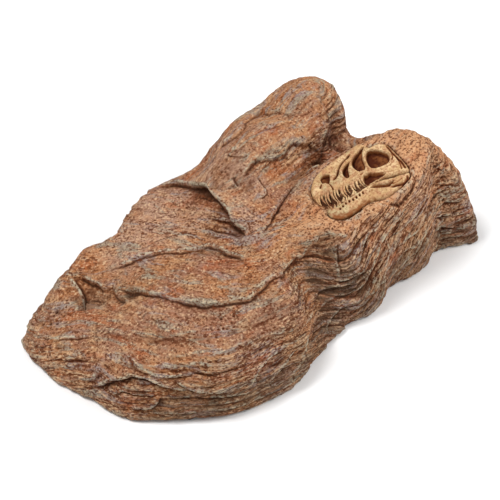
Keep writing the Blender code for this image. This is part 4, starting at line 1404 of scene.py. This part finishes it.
def washes(n, colour, grain, dots):
    """Crumbs and wash in the grain, wash and painted shade in hollows, pores, and streaked painted
    shade.
    """
    wash_and_shade = n.values("wash_and_shade")
    colour = n.coat(colour, CRUMB, grain, 0.53, 0.64, 0.75)
    colour = n.coat(colour, RED_WASH_AND_SHADE, grain, 0.47, 0.38, 0.92)
    # Wash and painted shade in the hollows, creases, valley and the skull's gap.
    colour = n.coat(colour, RED_WASH_AND_SHADE, wash_and_shade, 0.53, 0.74, 0.65)
    colour = n.coat(colour, DARK_WASH_AND_SHADE, wash_and_shade, 0.68, 0.98, 0.90)
    colour = n.mix(n.times(dots, 0.9), colour, PORE)
    runs = n.noise(1.0, 5, 0.7, 0.4, n.along_beds(0.75, 95))
    # Painted shade low on the front and in recesses, streaked along the beds.
    low_shade = n.times(n.values("low_shade"), n.ramp(runs, 0.38, 0.60, 0.10, 0.85))
    return n.mix(low_shade, colour, LOW_SHADE_BROWN)


def rock_colour(n, grain, dots, veins):
    """The coats of paint in their order, with bare resin inside the cave."""
    colour = bed_lines(n, base_paint(n), veins)
    colour = washes(n, dry_brush(n, colour, grain), grain, dots)
    inside = n.minus(1.0, n.values("open_air"))
    return n.mix(n.times(inside, 0.85), colour, RESIN)


def rock_grain(n):
    """Grain of the paint: even on level ground, drawn out along the beds where the rock is steep."""
    even = n.noise(690, 3, 0.66)
    drawn_out = n.noise(1.0, 3, 0.62, 0.3, n.along_beds(0.95, 420))
    more = n.times(n.minus(drawn_out, even), n.values("grained"))
    return n.plus(even, n.times(more, 0.85))


def rock_dots(n):
    """Pores of two kinds: pits along the beds, in groups, and finer specks between them."""
    uneven = n.times(n.minus(n.noise(250, 4, 0.65), 0.5), 1.25)
    dense = n.ramp(n.noise(62, 3, 0.6), 0.36, 0.62, -0.12, 0.06)
    in_groups = n.minus(uneven, dense)
    pits = n.plus(n.cells(1.0, n.along_beds(0.46, 235)), in_groups)
    specks = n.plus(n.cells(560), uneven)
    specks = n.times(n.ramp(specks, 0.20, 0.32, 1, 0), 0.9)
    dots = n.math("MAXIMUM", n.ramp(pits, 0.14, 0.25, 1, 0), specks)
    return n.times(dots, n.values("pored"))


def rock_veins(n):
    """Thin broken lines that wander along the beds."""
    flow = n.minus(n.noise(1.0, 2, 0.5, 0.7, n.along_beds(0.26, 30)), 0.5)
    lines = n.ramp(n.math("ABSOLUTE", flow), 0.006, 0.034, 1, 0)
    broken = n.ramp(n.noise(75, 3), 0.44, 0.58, 0, 0.85)
    return n.times(n.times(lines, broken), n.values("grained"))


def rock_material():
    """Painted cast stone with pores and crumbs."""
    n = Nodes("painted_rock")
    grain, dots = rock_grain(n), rock_dots(n)
    veins = rock_veins(n)
    n.set("Base Color", rock_colour(n, grain, dots, veins))
    n.set("Roughness", n.ramp(grain, 0.3, 0.7, 0.72, 0.92))
    n.shader.inputs["Specular IOR Level"].default_value = 0.10
    cut = n.plus(dots, n.times(veins, 0.8))
    rough = n.minus(n.times(grain, 1.3), cut)
    first = n.bump(rough, 0.9, 0.0007)
    n.set("Normal", n.bump(n.noise(1500, 3, 0.6), 0.3, 0.0003, first))
    return n.material


# Paints of the skull.
BONE = (0.52, 0.320, 0.150)
BONE_LIGHT = (0.70, 0.490, 0.270)
BONE_GREEN = (0.42, 0.350, 0.190)
# Also paints the shade where the jaw turns under and in the windows.
BONE_WASH_AND_SHADE = (0.22, 0.075, 0.022)
BONE_ROSE = (0.42, 0.200, 0.105)
# Near black, for the deepest wash and the painted shade in the windows.
BONE_DEEP_WASH_AND_SHADE = (0.060, 0.010, 0.001)


def bone_material(name):
    """Cast bone: cream with an antiquing wash in its hollows and painted shade in its deep parts."""
    n = Nodes(f"painted_bone_{name}")
    colour = n.mix(n.ramp(n.noise(130, 4, 0.6), 0.40, 0.62), BONE, BONE_LIGHT)
    green = n.plus(n.noise(75, 3), n.times(n.values("snout"), 0.12))
    colour = n.coat(colour, BONE_GREEN, green, 0.54, 0.68, 0.65)
    colour = n.coat(colour, BONE_ROSE, n.noise(330, 4, 0.65), 0.46, 0.60, 0.70)
    colour = n.coat(colour, BONE_WASH_AND_SHADE, n.noise(800, 4, 0.7), 0.48, 0.62, 0.62)
    stain_and_shade = n.plus(n.values("wash_and_shade"), n.ramp(n.noise(260, 4, 0.6), 0.3, 0.7, -0.12, 0.16))
    # Wash and painted shade, darkest in the windows and where the jaw turns under.
    colour = n.coat(colour, BONE_WASH_AND_SHADE, stain_and_shade, 0.12, 0.52)
    n.set("Base Color", n.coat(colour, BONE_DEEP_WASH_AND_SHADE, stain_and_shade, 0.55, 0.92))
    n.set("Roughness", n.ramp(n.noise(500, 3), 0.3, 0.7, 0.55, 0.78))
    n.shader.inputs["Specular IOR Level"].default_value = 0.12
    rough = n.bump(n.noise(420, 4, 0.6), 0.5, 0.0006)
    n.set("Normal", n.bump(n.noise(1100, 4, 0.6), 0.5, 0.0002, rough))
    return n.material


RUBBER = (0.022, 0.021, 0.020)
DUST = (0.075, 0.068, 0.060)


def rubber_material():
    """Black rubber, a little dusty."""
    n = Nodes("foot_rubber")
    dust = n.ramp(n.noise(900, 4, 0.65), 0.5, 0.75, 0, 0.5)
    n.set("Base Color", n.mix(dust, RUBBER, DUST))
    n.set("Roughness", n.ramp(n.noise(600, 3), 0.3, 0.7, 0.72, 0.9))
    n.set("Normal", n.bump(n.noise(2200, 3), 0.25, 0.0001))
    return n.material


# ---------------------------------------------------------------- stage

# Angles here are in degrees, and lengths in metres, apart from the lens and the floor's reach, which
# are in millimetres.
CAMERA_AZIMUTH = -45.0
CAMERA_HEIGHT = 40.0
CAMERA_DISTANCE = 1.0
CAMERA_TARGET = Vector((0.0, 0.0, 0.028))
CAMERA_LENS = 120.0
FLOOR_REACH = 4000
FLOOR_TONE = (0.93, 0.93, 0.93, 1.0)
# Lights, as name, place, size and power, and the light of the room.
LIGHTS = (
    ("key", (-0.55, 0.30, 1.35), 0.55, 17.0),
    ("fill", (0.9, -1.0, 1.0), 1.0, 17.0),
)
ROOM_TONE = (1.0, 1.0, 1.0, 1.0)
ROOM_LIGHT = 0.44


def add_floor():
    """A wide pale floor."""
    corners = [(x * FLOOR_REACH, y * FLOOR_REACH, 0) for x, y in ((-1, -1), (1, -1), (1, 1), (-1, 1))]
    mesh = mesh_from("floor", corners, [(0, 1, 2, 3)])
    floor = new_object("floor", mesh)
    n = Nodes("pale_floor")
    n.set("Base Color", FLOOR_TONE)
    n.set("Roughness", 0.9)
    n.shader.inputs["Specular IOR Level"].default_value = 0.1
    mesh.materials.append(n.material)


def add_light(name, place, size, power):
    """A square lamp that faces the object."""
    lamp = bpy.data.lights.new(name, "AREA")
    lamp.size = size
    lamp.energy = power
    light = bpy.data.objects.new(name, lamp)
    light.location = place
    light.rotation_euler = (CAMERA_TARGET - Vector(place)).to_track_quat("-Z", "Y").to_euler()
    bpy.context.scene.collection.objects.link(light)


def add_lights():
    """Two soft lamps in a light room."""
    for light in LIGHTS:
        add_light(*light)
    world = bpy.data.worlds.new("studio")
    world.use_nodes = True
    background = world.node_tree.nodes["Background"]
    background.inputs["Color"].default_value = ROOM_TONE
    background.inputs["Strength"].default_value = ROOM_LIGHT
    bpy.context.scene.world = world


def add_camera():
    """The camera, which looks down on the skull's side from the low end."""
    azimuth, height = math.radians(CAMERA_AZIMUTH), math.radians(CAMERA_HEIGHT)
    x, y = math.sin(azimuth) * math.cos(height), -math.cos(azimuth) * math.cos(height)
    back = Vector((x, y, math.sin(height)))
    lens = bpy.data.cameras.new("camera")
    lens.lens = CAMERA_LENS
    lens.sensor_width = 36.0
    lens.clip_start = 0.05
    camera = bpy.data.objects.new("camera", lens)
    camera.location = CAMERA_TARGET + CAMERA_DISTANCE * back
    camera.rotation_euler = back.to_track_quat("Z", "Y").to_euler()
    bpy.context.scene.collection.objects.link(camera)
    bpy.context.scene.camera = camera
    bpy.context.scene.view_settings.view_transform = "Standard"


add_camera()
add_lights()
add_floor()
add_rock()
add_skull()
for foot_number in range(1, 7):
    add_foot(foot_number)
